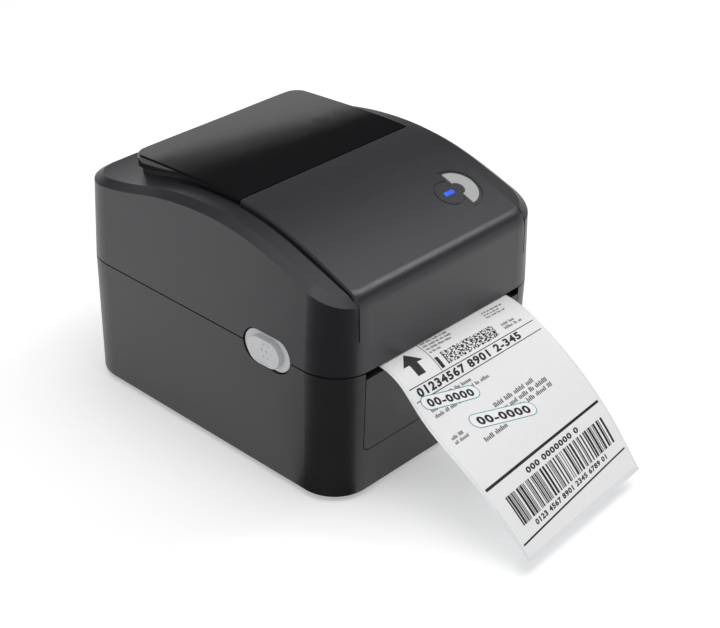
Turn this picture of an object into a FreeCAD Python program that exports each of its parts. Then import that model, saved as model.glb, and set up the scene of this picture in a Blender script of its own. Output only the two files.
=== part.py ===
import FreeCAD, Part
import math
import os

# Desktop thermal label printer with a hinged lid, a roll bay and a tear-off label exit.
# Frame: +X right, -Y label exit side, +Y rear, +Z up; origin on the table under the body's centre.
# All sizes are in millimetres.

V = FreeCAD.Vector

# Feet and screws: (x, y), and (x, z) on the upright main board
FEET = [(sx * 64.0, sy * 82.0) for sx in (-1, 1) for sy in (-1, 1)]
CENTRE_FOOT = (0.0, 0.0)
TRAY_POSTS = [(sx * 75.0, y) for sx in (-1, 1) for y in (-20.0, 68.0)]
BOTTOM_SCREWS = [(sx * 54.0, y) for sx in (-1, 1) for y in (-72.0, 0.0, 74.0)]
BOARD_SCREWS = [(sx * 67.0, z) for sx in (-1, 1) for z in (13.0, 54.0)]
FRAME_SCREWS = [(sx * 50.0, y) for sx in (-1, 1) for y in (-84.0, -46.0)]

# Body
BODY_WIDTH = 170.0
BODY_DEPTH = 208.0
CORNER_RADIUS = 24.0
WALL = 2.5
FOOT_HEIGHT = 2.5
SEAM_HEIGHT = 80.0
SEAM_GAP = 0.8
BASE_LEAN = 0.9
LID_DRAFT = math.tan(math.radians(2.0))
HALF_X = BODY_WIDTH / 2
HALF_Y = BODY_DEPTH / 2
BASE_TOP = SEAM_HEIGHT - SEAM_GAP / 2
LID_BOTTOM = SEAM_HEIGHT + SEAM_GAP / 2
FLOOR_TOP = FOOT_HEIGHT + WALL
SKY = 170.0
FIT = 0.3
SLACK = 0.1
SNUG = 0.02

# Rubber feet and thread-forming screws
FOOT_RADIUS = 7.0
FOOT_POCKET_RADIUS = 7.2
FOOT_SINK = 0.6
FOOT_CHAMFER = 0.6
SCREW_PILOT = 1.4
SCREW_CLEAR = 1.6
SCREW_SHANK = 1.3
SCREW_HEAD = 2.8

# Side view curves (y, z) of the lid: shoulders, raised panel and underside of the window plate
SHOULDER_LINE = [(110, 131.1), (80, 132.3), (60, 135.9), (42, 140.4), (22, 144.0), (-5, 145.9),
                 (-35, 143.4), (-60, 137.1), (-80, 130.5), (-95, 125.5), (-110, 121.6)]
PANEL_LINE = [(110, 141.6), (75, 145.6), (40, 147.9), (2, 149.4), (-14, 149.1), (-35, 146.5),
              (-57, 141.0), (-78, 133.7), (-92, 128.3), (-110, 121.4)]
PLATE_UNDER_LINE = [(110, 133.0), (79, 138.1), (62, 139.9), (44, 143.8), (30, 145.6), (-5, 147.1),
                    (-40, 146.2)]
BEVEL_WIDTH = 5.0
BEVEL_HEIGHT = 3.4
PANEL_HALF_WIDTH = 66.3
PANEL_TAPER = 0.0165
PANEL_CHAMFER = 0.9
FRONT_ROUNDING = 11.0
SPLIT_Y = -13.5
SPLIT_GAP = 0.8
PLATE_REAR_Y = 76.5
PLATE_CORNER = 9.0
PLATE_SKIN = 2.2
GROOVE_WIDTH = 1.0
GROOVE_DEPTH = 1.7

# Hinge
HINGE_Y = 102.0
HINGE_Z = 86.0
HINGE_X = 48.0
KNUCKLE_RADIUS = 3.8
KNUCKLE_LENGTH = 9.0
EAR_THICKNESS = 4.0
PIN_RADIUS = 1.5
RUNNING = 0.05

# Label exit, front panel
PANEL_X = 63.0
EXIT_BOTTOM = 75.6
FRONT_PANEL_BOTTOM = 29.8
FRONT_PANEL_CORNER = 4.0
PANEL_SEAM = 0.5

# Lid release buttons
LATCH_Y = -51.7
FLANGE_LENGTH = 34.0
FLANGE_HEIGHT = 19.4
FLANGE_THICKNESS = 2.0
FLANGE_SINK = 1.0
CAP_LENGTH = 24.0
CAP_HEIGHT = 16.0
CAP_PROUD = 2.4
LATCH_GAP = 0.8
HOOK_X = 71.0
HOOK_Z = 62.0
HOOK_NOSE_X = 76.4
STRIKE_X = 76.9
STRIKE_THICK = 1.6

# Roll and web
ROLL_Y = 24.0
ROLL_Z = 64.0
ROLL_RADIUS = 50.0
CORE_OUTER = 14.3
CORE_INNER = 12.7
LINER_WIDTH = 105.0
LABEL_WIDTH = 101.6
LINER_THICK = 0.25
LABEL_THICK = 0.2
WEB_Z = 79.1
WEB_BEND_Y = -61.5
WEB_BEND_RADIUS = 8.0

# Platen, gears and motor
PLATEN_Y = -88.0
PLATEN_Z = 72.0
PLATEN_RADIUS = 6.9
PLATEN_LENGTH = 108.0
SHAFT_RADIUS = 3.0
GEAR_MODULE = 1.0
PLATEN_TEETH = 20
IDLER_TEETH = 32
PINION_TEETH = 12
GEAR_X = 61.0
GEAR_WIDTH = 5.0
MOTOR_Y = -56.0
MOTOR_Z = 40.0
MOTOR_RADIUS = 17.5
MOTOR_LENGTH = 28.0
PRESSURE_ANGLE = math.radians(20.0)
TOOTH_ADDENDUM = 0.72
TOOTH_DEDENDUM = 1.05
TOOTH_BACKLASH = 0.16

# Metal frame that carries the platen
FRAME_X = 58.0
FRAME_SHEET = 1.5
FRAME_FRONT_Y = -97.0
FRAME_REAR_Y = -38.0

# Media bay moulding
DECK_TOP = 78.0
DECK_THICK = 2.0
BAY_HALF_X = 68.0
BAY_FRONT_Y = -36.0
BAY_REAR_Y = 80.0
BAY_FLOOR_TOP = 12.0
BAY_WALL = 2.0
DECK_REAR_Y = 97.0
DECK_HALF_X = 81.6

# Media guides
GUIDE_X = 53.0
GUIDE_THICK = 3.0
GUIDE_RADIUS = 26.0
RACK_PINION_TEETH = 12
RACK_BOTTOM = 6.0
RACK_TOP = 9.4

# Print head
HEAD_HALF_X = 54.0
HEAD_FRONT_Y = -97.5
HEAD_REAR_Y = -77.0
HEAD_BOTTOM = 80.4
BRACKET_TOP = 98.5
BRACKET_THICK = 1.5
HEAD_BOSSES = [(sx * x, y) for sx in (-1, 1) for x, y in ((46.0, -90.0), (20.0, -69.0))]

# Feed button and status light on the raised panel
BUTTON_X = 45.0
BUTTON_Y = -70.3
BUTTON_OUTER = 12.5
BUTTON_INNER = 4.4
BUTTON_RING = 14.4
LIGHT_OFFSET = -7.0
LIGHT_LENGTH = 7.2
LIGHT_WIDTH = 2.7
LIGHT_RING = 8.7
RING_WIDTH = 0.6
RING_DEPTH = 0.5

# Rear connectors
PCB_Y = 92.0
PCB_THICK = 1.6
REAR_INNER_Y = HALF_Y - WALL
REAR_PANEL_X = 58.0
REAR_PANEL_BOTTOM = 14.0
POWER_X = 20.0
USB_X = -4.0
SWITCH_X = 43.0
CONNECTOR_Z = 30.0
SWITCH_Z = 34.0
ROCKER_DEPTH = 1.0
REAR_SLOT_Z = 64.0
REAR_SLOT_HEIGHT = 6.6
REAR_SLOT_HALF_X = 54.0


# ---------------------------------------------------------------- helpers

def box(x0, x1, y0, y1, z0, z1):
    return Part.makeBox(x1 - x0, y1 - y0, z1 - z0, V(x0, y0, z0))


def cylinder_x(radius, x0, x1, y, z):
    return Part.makeCylinder(radius, x1 - x0, V(x0, y, z), V(1, 0, 0))


def cylinder_y(radius, y0, y1, x, z):
    return Part.makeCylinder(radius, y1 - y0, V(x, y0, z), V(0, 1, 0))


def cylinder_z(radius, z0, z1, x, y):
    return Part.makeCylinder(radius, z1 - z0, V(x, y, z0), V(0, 0, 1))


def tube_x(outer, inner, x0, x1, y, z):
    return cylinder_x(outer, x0, x1, y, z).cut(cylinder_x(inner, x0 - 1, x1 + 1, y, z))


def union(shapes):
    first = shapes[0]
    rest = shapes[1:]
    return first.fuse(rest).removeSplitter() if rest else first


def without(shape, tools):
    return shape.cut(tools) if tools else shape


def mirrored(shape):
    return shape.mirror(V(0, 0, 0), V(1, 0, 0))


def both_sides(shape):
    return [shape, mirrored(shape)]


def rounded_rectangle(half_x, half_y, radius, z):
    chord = radius * (1 - math.sqrt(0.5))
    edges = []
    for sx, sy in ((1, 1), (-1, 1), (-1, -1), (1, -1)):
        along_x = V(sx * (half_x - radius), sy * half_y, z)
        along_y = V(sx * half_x, sy * (half_y - radius), z)
        middle = V(sx * (half_x - chord), sy * (half_y - chord), z)
        ends = (along_y, along_x) if sx * sy > 0 else (along_x, along_y)
        edges.append(Part.Arc(ends[0], middle, ends[1]).toShape())
    wire = []
    for i, arc in enumerate(edges):
        following = edges[(i + 1) % 4]
        wire.append(arc)
        wire.append(Part.makeLine(arc.Vertexes[1].Point, following.Vertexes[0].Point))
    return Part.Wire(wire)


def stadium_x(length, height, y, z, x0, x1):
    half = (length - height) / 2
    body = box(x0, x1, y - half, y + half, z - height / 2, z + height / 2)
    ends = [cylinder_x(height / 2, x0, x1, y + s * half, z) for s in (-1, 1)]
    return union([body] + ends)


def spline(points, x, drop=0.0):
    curve = Part.BSplineCurve()
    curve.interpolate([V(x, y, z - drop) for y, z in points])
    return curve


def height_at(line, y):
    curve = spline(line, 0)
    low, high = curve.FirstParameter, curve.LastParameter
    for _ in range(50):
        middle = (low + high) / 2
        if curve.value(middle).y > y:
            low = middle
        else:
            high = middle
    return curve.value(low).z


def region_below(line, drop=0.0, half_x=100.0, floor=60.0):
    first = V(-half_x, line[0][0], line[0][1] - drop)
    last = V(-half_x, line[-1][0], line[-1][1] - drop)
    low_first = V(-half_x, first.y, floor)
    low_last = V(-half_x, last.y, floor)
    edges = [Part.makeLine(low_first, first), spline(line, -half_x, drop).toShape(),
             Part.makeLine(last, low_last), Part.makeLine(low_last, low_first)]
    return Part.Face(Part.Wire(edges)).extrude(V(2 * half_x, 0, 0))


def prism_x(points, x0, x1):
    corners = [V(x0, y, z) for y, z in points]
    return Part.Face(Part.makePolygon(corners + corners[:1])).extrude(V(x1 - x0, 0, 0))


def prism_y(points, y0, y1):
    corners = [V(x, y0, z) for x, z in points]
    return Part.Face(Part.makePolygon(corners + corners[:1])).extrude(V(0, y1 - y0, 0))


def prism_z(points, z0, z1):
    corners = [V(x, y, z0) for x, y in points]
    return Part.Face(Part.makePolygon(corners + corners[:1])).extrude(V(0, 0, z1 - z0))


def top_face(shape):
    def lift(face):
        u0, u1, v0, v1 = face.ParameterRange
        return face.normalAt((u0 + u1) / 2, (v0 + v1) / 2).z * face.Area
    return max(shape.Faces, key=lift)


def lid_wall_x(z):
    return HALF_X - LID_DRAFT * (z - SEAM_HEIGHT)


# ---------------------------------------------------------------- outer forms

def base_form(inset, bottom, top):
    wires = []
    for z in (bottom, top):
        lean = BASE_LEAN * (SEAM_HEIGHT - z) / (SEAM_HEIGHT - FOOT_HEIGHT) + inset
        wires.append(rounded_rectangle(HALF_X - lean, HALF_Y - lean, CORNER_RADIUS - lean, z))
    return Part.makeLoft(wires, True, True)


def lid_prism(inset, bottom):
    wires = []
    for z in (bottom, SKY):
        lean = LID_DRAFT * (z - SEAM_HEIGHT) + inset
        wires.append(rounded_rectangle(HALF_X - lean, HALF_Y - lean, CORNER_RADIUS - lean, z))
    return Part.makeLoft(wires, True, True)


def shoulder_form(inset, drop, bottom):
    form = lid_prism(inset, bottom).common(region_below(SHOULDER_LINE, drop)).Solids[0]
    return form.makeChamfer(BEVEL_HEIGHT, BEVEL_WIDTH, top_face(form).Edges)


def panel_plan(front_y, rear_y, bottom, grow=0.0, top=SKY):
    front = PANEL_HALF_WIDTH - PANEL_TAPER * front_y + grow
    rear = PANEL_HALF_WIDTH - PANEL_TAPER * rear_y + grow
    return prism_z([(-front, front_y), (front, front_y), (rear, rear_y), (-rear, rear_y)], bottom, top)


def chamfered_panel_top(shape):
    top = top_face(shape)
    sides = [e for e in top.Edges if abs(e.CenterOfMass.x) > PANEL_HALF_WIDTH / 2]
    return shape.makeChamfer(PANEL_CHAMFER, sides)


def raised_panel():
    form = lid_prism(0, LID_BOTTOM).common(region_below(PANEL_LINE)).Solids[0]
    front = [e for e in top_face(form).Edges if e.CenterOfMass.y < 20 - HALF_Y]
    form = form.makeFillet(FRONT_ROUNDING, front)
    form = form.common(panel_plan(-HALF_Y - 1, SPLIT_Y - SPLIT_GAP / 2, 100))
    return form.Solids[0]


# ---------------------------------------------------------------- lid

def button_frame():
    step = 8.0
    rise = height_at(PANEL_LINE, BUTTON_Y + step) - height_at(PANEL_LINE, BUTTON_Y - step)
    tilt = math.degrees(math.atan(rise / (2 * step)))
    place = V(BUTTON_X, BUTTON_Y, height_at(PANEL_LINE, BUTTON_Y))
    return FreeCAD.Placement(place, FreeCAD.Rotation(V(1, 0, 0), tilt))


def on_button_frame(shape):
    placed = shape.copy()
    placed.Placement = button_frame()
    return placed


def crescent(grow, z0, z1):
    ring = cylinder_z(BUTTON_OUTER + grow, z0, z1, 0, 0).cut(cylinder_z(BUTTON_INNER - grow, z0, z1, 0, 0))
    return ring.common(box(-grow, 30, -30, 30, z0, z1))


def light_window(grow, z0, z1):
    half_x = LIGHT_LENGTH / 2 + grow
    half_y = LIGHT_WIDTH / 2 + grow
    return box(LIGHT_OFFSET - half_x, LIGHT_OFFSET + half_x, -half_y, half_y, z0, z1)


def button_rings():
    tall = 6.0
    around_button = cylinder_z(BUTTON_RING + RING_WIDTH, -tall, tall, 0, 0)
    around_button = around_button.cut(cylinder_z(BUTTON_RING, -tall, tall, 0, 0))
    around_button = around_button.common(box(-1.5, 30, -30, 30, -tall, tall))
    around_light = cylinder_z(LIGHT_RING + RING_WIDTH, -tall, tall, LIGHT_OFFSET, 0)
    around_light = around_light.cut(cylinder_z(LIGHT_RING, -tall, tall, LIGHT_OFFSET, 0))
    around_light = around_light.common(box(-30, -2.0, -30, 30, -tall, tall))
    rings = on_button_frame(Part.makeCompound([around_button, around_light]))
    return rings.cut(region_below(PANEL_LINE, RING_DEPTH))


def side_grooves():
    rear_y = SPLIT_Y
    front_y = -HALF_Y - 1
    wide = panel_plan(front_y, rear_y, 100, GROOVE_WIDTH)
    groove = wide.cut(panel_plan(front_y - 1, rear_y + 1, 90))
    return groove.cut(region_below(SHOULDER_LINE, GROOVE_DEPTH))


def window_ledge():
    inset = 5.0
    ledge = region_below(PLATE_UNDER_LINE, SLACK, PANEL_HALF_WIDTH - inset, 130)
    front_y = SPLIT_Y + SPLIT_GAP
    return ledge.common(box(-100, 100, front_y, PLATE_REAR_Y - inset, 120, SKY))


def lid_knuckle(side):
    half = KNUCKLE_LENGTH / 2
    x = side * HINGE_X
    barrel = cylinder_x(KNUCKLE_RADIUS, x - half, x + half, HINGE_Y, HINGE_Z)
    web = box(x - half, x + half, HINGE_Y - 1.7, HINGE_Y + 1.7, HINGE_Z, HINGE_Z + 7)
    return union([barrel, web])


def hinge_notch(side):
    half = KNUCKLE_LENGTH / 2 + EAR_THICKNESS + 1.6
    x = side * HINGE_X
    return box(x - half, x + half, HINGE_Y - 8, HINGE_Y + 8, LID_BOTTOM - 1, HINGE_Z + 4.6)


def pin_hole(radius):
    return cylinder_x(radius, -HINGE_X - 20, HINGE_X + 20, HINGE_Y, HINGE_Z)


def latch_opening():
    length = FLANGE_LENGTH + 2 * LATCH_GAP
    height = FLANGE_HEIGHT + 2 * LATCH_GAP
    return stadium_x(length, height, LATCH_Y, SEAM_HEIGHT, HALF_X - 6, HALF_X + 4)


def head_boss(x, y):
    return cylinder_z(4.0, BRACKET_TOP, height_at(PANEL_LINE, y) - 2, x, y)


def upper_cover():
    shell = shoulder_form(0, 0, LID_BOTTOM)
    shell = shell.cut(panel_plan(-HALF_Y - 1, SPLIT_Y - SPLIT_GAP / 2, 100))
    shell = union([shell, chamfered_panel_top(raised_panel()), window_ledge()])
    hollow = shoulder_form(WALL, WALL + 0.7, SEAM_HEIGHT - 10)
    panel_hollow = region_below(PANEL_LINE, WALL + 0.3, 61).common(box(-61, 61, -89, -18, 100, SKY))
    window_hole = box(-53, 53, 6, 62, 120, SKY)
    shell = without(shell, [hollow, panel_hollow, window_hole, side_grooves(), button_rings()])
    bosses = [head_boss(x, y) for x, y in HEAD_BOSSES]
    holes = [cylinder_z(SCREW_PILOT, BRACKET_TOP - 1, BRACKET_TOP + 9, x, y) for x, y in HEAD_BOSSES]
    post_places = [(x, y) for x in (-10.5, 13) for y in (-9.8, 9.8)]
    board_posts = [on_button_frame(cylinder_z(2.0, -10.5, -2, x, y)) for x, y in post_places]
    shell = union([shell] + bosses + board_posts)
    notches = [hinge_notch(side) for side in (-1, 1)]
    panel_holes = [on_button_frame(crescent(0.3, -9, 6)), on_button_frame(light_window(SLACK, -9, 6))]
    shell = without(shell, notches + holes + both_sides(latch_opening()) + panel_holes)
    shell = union([shell] + [lid_knuckle(side) for side in (-1, 1)])
    return shell.cut(pin_hole(PIN_RADIUS + RUNNING))


def view_window():
    body = region_below(PANEL_LINE).cut(region_below(PLATE_UNDER_LINE, 0, 101, 59))
    plan = panel_plan(SPLIT_Y + SPLIT_GAP / 2, PLATE_REAR_Y, 120)
    upright = [e for e in plan.Edges if abs(e.tangentAt(e.FirstParameter).z) > 0.9]
    corners = [e for e in upright if e.Length > SKY - 121 and e.CenterOfMass.y > 0]
    plate = body.common(plan.makeFillet(PLATE_CORNER, corners)).Solids[0]
    plate = chamfered_window_top(plate)
    margin = 4.0
    recess = region_below(PANEL_LINE, PLATE_SKIN, PANEL_HALF_WIDTH - margin - 1)
    recess = recess.common(box(-100, 100, SPLIT_Y + margin, PLATE_REAR_Y - margin, 120, SKY))
    return plate.cut(recess.cut(window_ledge_envelope()))


def window_ledge_envelope():
    ledge = region_below(PLATE_UNDER_LINE, -SLACK, PANEL_HALF_WIDTH + 5, 120)
    return ledge.common(box(-53 - 8, 53 + 8, SPLIT_Y, 6, 120, SKY))


def chamfered_window_top(plate):
    top = top_face(plate)
    edges = [e for e in top.Edges if e.CenterOfMass.y > SPLIT_Y + 2]
    return plate.makeChamfer(PANEL_CHAMFER, edges)


def feed_button():
    cap = on_button_frame(crescent(0, -5, 4)).common(region_below(PANEL_LINE, -0.5))
    skirt = on_button_frame(crescent(1.2, -5.4, -4.2).common(box(-0.1, 30, -30, 30, -6, 0)))
    stem = on_button_frame(cylinder_z(SCREW_CLEAR, -8.0, -5, 8.2, 0))
    return union([cap, skirt, stem])


def light_pipe():
    block = on_button_frame(light_window(0, -6.5, 4))
    return block.common(region_below(PANEL_LINE, -0.1))


def button_board():
    board = on_button_frame(box(-13, 15, -12, 12, -12.2, -10.6))
    switch = on_button_frame(box(5.2, 11.2, -3, 3, -10.6, -9.4))
    plunger = on_button_frame(cylinder_z(1.5, -9.4, -8.9, 8.2, 0))
    lamp = on_button_frame(box(LIGHT_OFFSET - 1.5, LIGHT_OFFSET + 1.5, -1.2, 1.2, -10.6, -7.5))
    return union([board, switch, plunger, lamp])


def head_bracket():
    half = HEAD_HALF_X + 2
    low = BRACKET_TOP - BRACKET_THICK
    plate = box(-half, half, -97, -62.5, low, BRACKET_TOP)
    lip = box(-half, half, -64, -62.5, WEB_Z + LINER_THICK + LABEL_THICK + 0.4, BRACKET_TOP)
    ears = [box(half - BRACKET_THICK, half, -94, -66, 88.6, BRACKET_TOP)]
    ears += [mirrored(ears[0])]
    holes = [cylinder_z(SCREW_CLEAR, low - 1, BRACKET_TOP + 1, x, y) for x, y in HEAD_BOSSES]
    return without(union([plate, lip] + ears), holes)


def head_screws():
    screws = []
    low = BRACKET_TOP - BRACKET_THICK
    for x, y in HEAD_BOSSES:
        head = cylinder_z(SCREW_HEAD, low - 1.9, low, x, y)
        drive = cylinder_z(1.2, low - 2.5, low - 1.0, x, y)
        screws.append(union([head, cylinder_z(SCREW_SHANK, low - 0.1, low + 8, x, y)]).cut(drive))
    return Part.makeCompound(screws)


def head_springs():
    coils = [coil_z(3.4, 0.4, 6, 88.0, BRACKET_TOP - BRACKET_THICK, sx * 30, -84) for sx in (-1, 1)]
    return Part.makeCompound(coils)


def coil_z(radius, wire_radius, turns, z0, z1, x, y):
    height = z1 - z0 - 2 * wire_radius - 0.1
    helix = Part.makeHelix(height / turns, height, radius)
    start = Part.Wire([Part.makeCircle(wire_radius, V(radius, 0, 0), V(0, 1, 0))])
    coil = Part.Wire(helix.Edges).makePipeShell([start], True, False)
    coil.translate(V(x, y, z0 + wire_radius + 0.05))
    return coil


def print_head():
    board = box(-HEAD_HALF_X, HEAD_HALF_X, HEAD_FRONT_Y, HEAD_REAR_Y, HEAD_BOTTOM, HEAD_BOTTOM + 1.2)
    line_radius = 2.5
    line_z = WEB_Z + LINER_THICK + LABEL_THICK + 0.25 + line_radius
    line = cylinder_x(line_radius, -HEAD_HALF_X + 2, HEAD_HALF_X - 2, PLATEN_Y, line_z)
    line = line.common(box(-100, 100, PLATEN_Y - 5, PLATEN_Y + 5, 60, HEAD_BOTTOM + 0.5))
    return union([board, line])


def head_heatsink():
    bottom = HEAD_BOTTOM + 1.2
    block = box(-HEAD_HALF_X + 0.5, HEAD_HALF_X - 0.5, HEAD_FRONT_Y, HEAD_REAR_Y, bottom, 88)
    slots = [box(-100, 100, y, y + 1.5, 84.5, 89) for y in (-95.5, -92.5, -80.5)]
    return without(block, slots)


def tear_bar():
    bottom = LID_BOTTOM + 0.1
    half = HEAD_HALF_X
    front = -HALF_Y + WALL + 0.6
    blade = box(-half, half, front, front + 0.8, bottom, 91)
    pitch = 2.0
    notches = []
    count = int(2 * half / pitch)
    for i in range(count):
        x = -half + pitch * i
        notches.append(prism_y([(x, bottom - 0.1), (x + pitch / 2, bottom + 1.0), (x + pitch, bottom - 0.1)],
                               front - 1, front + 2))
    return blade.cut(notches)


def catch_plate():
    top = 98.0
    plate = box(STRIKE_X, STRIKE_X + STRIKE_THICK, LATCH_Y - 9, LATCH_Y + 9, 82.6, top)
    flange = box(STRIKE_X, lid_wall_x(top) - WALL - SLACK, LATCH_Y - 9, LATCH_Y + 9, top - 2.5, top)
    window = box(STRIKE_X - 1, STRIKE_X + 3, LATCH_Y - 6.6, LATCH_Y + 6.6, 85.8, 89.8)
    return union([plate, flange]).cut(window)


def head_cable():
    ribbon = region_below(SHOULDER_LINE, WALL + 0.9).cut(region_below(SHOULDER_LINE, WALL + 1.3, 101, 59))
    return ribbon.common(box(-74, -64, -60, 88, 110, SKY))


# ---------------------------------------------------------------- base shell

def hinge_ear(x):
    half = EAR_THICKNESS / 2
    disc = cylinder_x(KNUCKLE_RADIUS, x - half, x + half, HINGE_Y, HINGE_Z)
    post = box(x - half, x + half, HINGE_Y - 3.0, HINGE_Y + 2.0, SEAM_HEIGHT - 4.5, HINGE_Z)
    return union([disc, post])


def hinge_ears():
    offset = (KNUCKLE_LENGTH + EAR_THICKNESS) / 2 + FIT
    return [hinge_ear(side * HINGE_X + turn * offset) for side in (-1, 1) for turn in (-1, 1)]


def front_opening(gap):
    half = PANEL_X + gap
    opening = box(-half, half, -HALF_Y - 5, -HALF_Y + 8, FRONT_PANEL_BOTTOM - gap, SEAM_HEIGHT + 5)
    lower = [e for e in opening.Edges
             if e.CenterOfMass.z < FRONT_PANEL_BOTTOM + 1 and abs(e.CenterOfMass.x) > half - 0.1]
    return opening.makeFillet(FRONT_PANEL_CORNER + gap, lower)


def rear_opening(gap):
    half = REAR_PANEL_X + gap
    return box(-half, half, HALF_Y - 8, HALF_Y + 5, REAR_PANEL_BOTTOM - gap, SEAM_HEIGHT + 5)


def socket_holes():
    y0 = REAR_INNER_Y - 5
    y1 = HALF_Y + 5
    half_slot = REAR_SLOT_HEIGHT / 2
    slot = box(-REAR_SLOT_HALF_X, REAR_SLOT_HALF_X, y0, y1, REAR_SLOT_Z - half_slot, REAR_SLOT_Z + half_slot)
    power = box(POWER_X - 7, POWER_X + 7, y0, y1, CONNECTOR_Z - 6, CONNECTOR_Z + 6)
    usb = box(USB_X - 6.4, USB_X + 6.4, y0, y1, CONNECTOR_Z - 5.9, CONNECTOR_Z + 5.9)
    switch = box(SWITCH_X - 10, SWITCH_X + 10, y0, y1, SWITCH_Z - 7, SWITCH_Z + 7)
    return [slot, power, usb, switch]


def foot_pocket(x, y):
    return cylinder_z(FOOT_POCKET_RADIUS, 0, FOOT_HEIGHT + FOOT_SINK, x, y)


def lower_housing():
    outer = base_form(0, FOOT_HEIGHT, BASE_TOP)
    bottom = [e for e in outer.Edges if e.BoundBox.ZMax < FOOT_HEIGHT + 0.1]
    outer = outer.makeFillet(1.8, bottom)
    shell = outer.cut(base_form(WALL, FLOOR_TOP, BASE_TOP + 5))
    service = box(-50, 50, -68, 70, 0, FLOOR_TOP + 1)
    rebate = box(-58, 58, -76, 78, 0, FOOT_HEIGHT + 1.5)
    foot_pockets = [foot_pocket(x, y) for x, y in FEET]
    panel_openings = [front_opening(PANEL_SEAM), rear_opening(FIT)]
    shell = without(shell, [service, rebate] + panel_openings + foot_pockets)
    shell = shell.cut(both_sides(latch_opening()))
    posts = [cylinder_z(3.6, FLOOR_TOP - 1, DECK_TOP - DECK_THICK - 0.05, x, y) for x, y in TRAY_POSTS]
    bosses = [cylinder_z(3.4, FOOT_HEIGHT + 1.5, FLOOR_TOP + 2.5, x, y) for x, y in BOTTOM_SCREWS]
    post_front = PCB_Y + PCB_THICK + 0.05
    board_posts = [cylinder_y(3.0, post_front, REAR_INNER_Y - 1, x, z) for x, z in BOARD_SCREWS]
    shell = union([shell] + posts + bosses + board_posts)
    tray_holes = [cylinder_z(SCREW_PILOT, DECK_TOP - 14, DECK_TOP, x, y) for x, y in TRAY_POSTS]
    plate_holes = [cylinder_z(SCREW_PILOT, 0, FLOOR_TOP + 3, x, y) for x, y in BOTTOM_SCREWS]
    holes = tray_holes + plate_holes + board_holes(SCREW_PILOT, PCB_Y, PCB_Y + 6)
    return without(shell, holes)


def rear_panel():
    skin = base_form(0, FOOT_HEIGHT, BASE_TOP).cut(base_form(WALL, FOOT_HEIGHT - 1, BASE_TOP + 5))
    skin = skin.common(rear_opening(0))
    lip_y = REAR_INNER_Y - 1.2
    lip_x = REAR_PANEL_X + 2.3
    top = SEAM_HEIGHT - 4.5
    lips = [box(REAR_PANEL_X - 4, lip_x, lip_y - 1.8, lip_y, 20, top),
            box(REAR_PANEL_X - 4, REAR_PANEL_X, lip_y - 1.8, lip_y + 2.2, 20, top)]
    lips += [mirrored(lip) for lip in lips]
    panel = union([skin] + lips + hinge_ears())
    return without(panel, socket_holes() + [pin_hole(PIN_RADIUS + 0.02)])


def front_panel():
    skin = base_form(0, FOOT_HEIGHT, BASE_TOP).cut(base_form(WALL, FOOT_HEIGHT - 1, BASE_TOP + 5))
    skin = skin.common(front_opening(0)).common(box(-90, 90, -HALF_Y, 0, 0, EXIT_BOTTOM))
    inner_y = -HALF_Y + WALL + 0.7
    lip = box(-PANEL_X + 3, PANEL_X - 3, inner_y - 2.3, -97.3, EXIT_BOTTOM - 1.5, EXIT_BOTTOM)
    clips = [box(x - 5, x + 5, inner_y + 0.2, inner_y + 1.8, 25, 40) for x in (-40, 40)]
    webs = [box(x - 5, x + 5, inner_y - 1.2, inner_y + 1.8, 33, 40) for x in (-40, 40)]
    return union([skin, lip] + clips + webs)


def bottom_cover():
    plate = box(-57.7, 57.7, -75.7, 77.7, FOOT_HEIGHT, FOOT_HEIGHT + 1.4)
    corners = [e for e in plate.Edges if abs(e.tangentAt(0).z) > 0.9]
    plate = plate.makeFillet(3.0, corners)
    slots = []
    for side in (-1, 1):
        for i in range(9):
            y = -32 + 8 * i
            x = side * 28
            slots.append(box(x - 14, x + 14, y, y + 2.5, 0, 6))
    holes = [cylinder_z(SCREW_CLEAR, 0, 6, x, y) for x, y in BOTTOM_SCREWS]
    seats = [cylinder_z(3.1, 0, FOOT_HEIGHT + 0.7, x, y) for x, y in BOTTOM_SCREWS]
    return without(plate, slots + holes + seats + [foot_pocket(*CENTRE_FOOT)])


def bottom_screws():
    screws = []
    for x, y in BOTTOM_SCREWS:
        head = cylinder_z(SCREW_HEAD, FOOT_HEIGHT + 0.05, FOOT_HEIGHT + 0.7, x, y)
        shank = cylinder_z(SCREW_SHANK, FOOT_HEIGHT + 0.6, FLOOR_TOP + 2, x, y)
        screws.append(union([head, shank]))
    return Part.makeCompound(screws)


def rubber_feet():
    feet = []
    for x, y in FEET + [CENTRE_FOOT]:
        foot = cylinder_z(FOOT_RADIUS, 0, FOOT_HEIGHT + FOOT_SINK, x, y)
        rim = [e for e in foot.Edges if e.BoundBox.ZMax < 0.1]
        feet.append(foot.makeChamfer(FOOT_CHAMFER, rim))
    return Part.makeCompound(feet)


def hinge_pins():
    reach = KNUCKLE_LENGTH / 2 + EAR_THICKNESS + FIT
    pins = []
    for side in (-1, 1):
        x = side * HINGE_X
        pin = cylinder_x(PIN_RADIUS, x - reach - 0.05, x + reach + 0.05, HINGE_Y, HINGE_Z)
        head_start, head_end = sorted((x + side * (reach + 0.05), x + side * (reach + 0.75)))
        pins.append(union([pin, cylinder_x(2.2, head_start, head_end, HINGE_Y, HINGE_Z)]))
    return Part.makeCompound(pins)


# ---------------------------------------------------------------- media bay

def hook_opening():
    return box(HOOK_X - 8, HOOK_X + 7, LATCH_Y - 7.5, LATCH_Y + 7.5, DECK_TOP - 5, DECK_TOP + 5)


def release_notch():
    reach = FLANGE_LENGTH / 2 + 1
    return box(HOOK_X + 7, HALF_X, LATCH_Y - reach, LATCH_Y + reach, DECK_TOP - 5, SKY)


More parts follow.
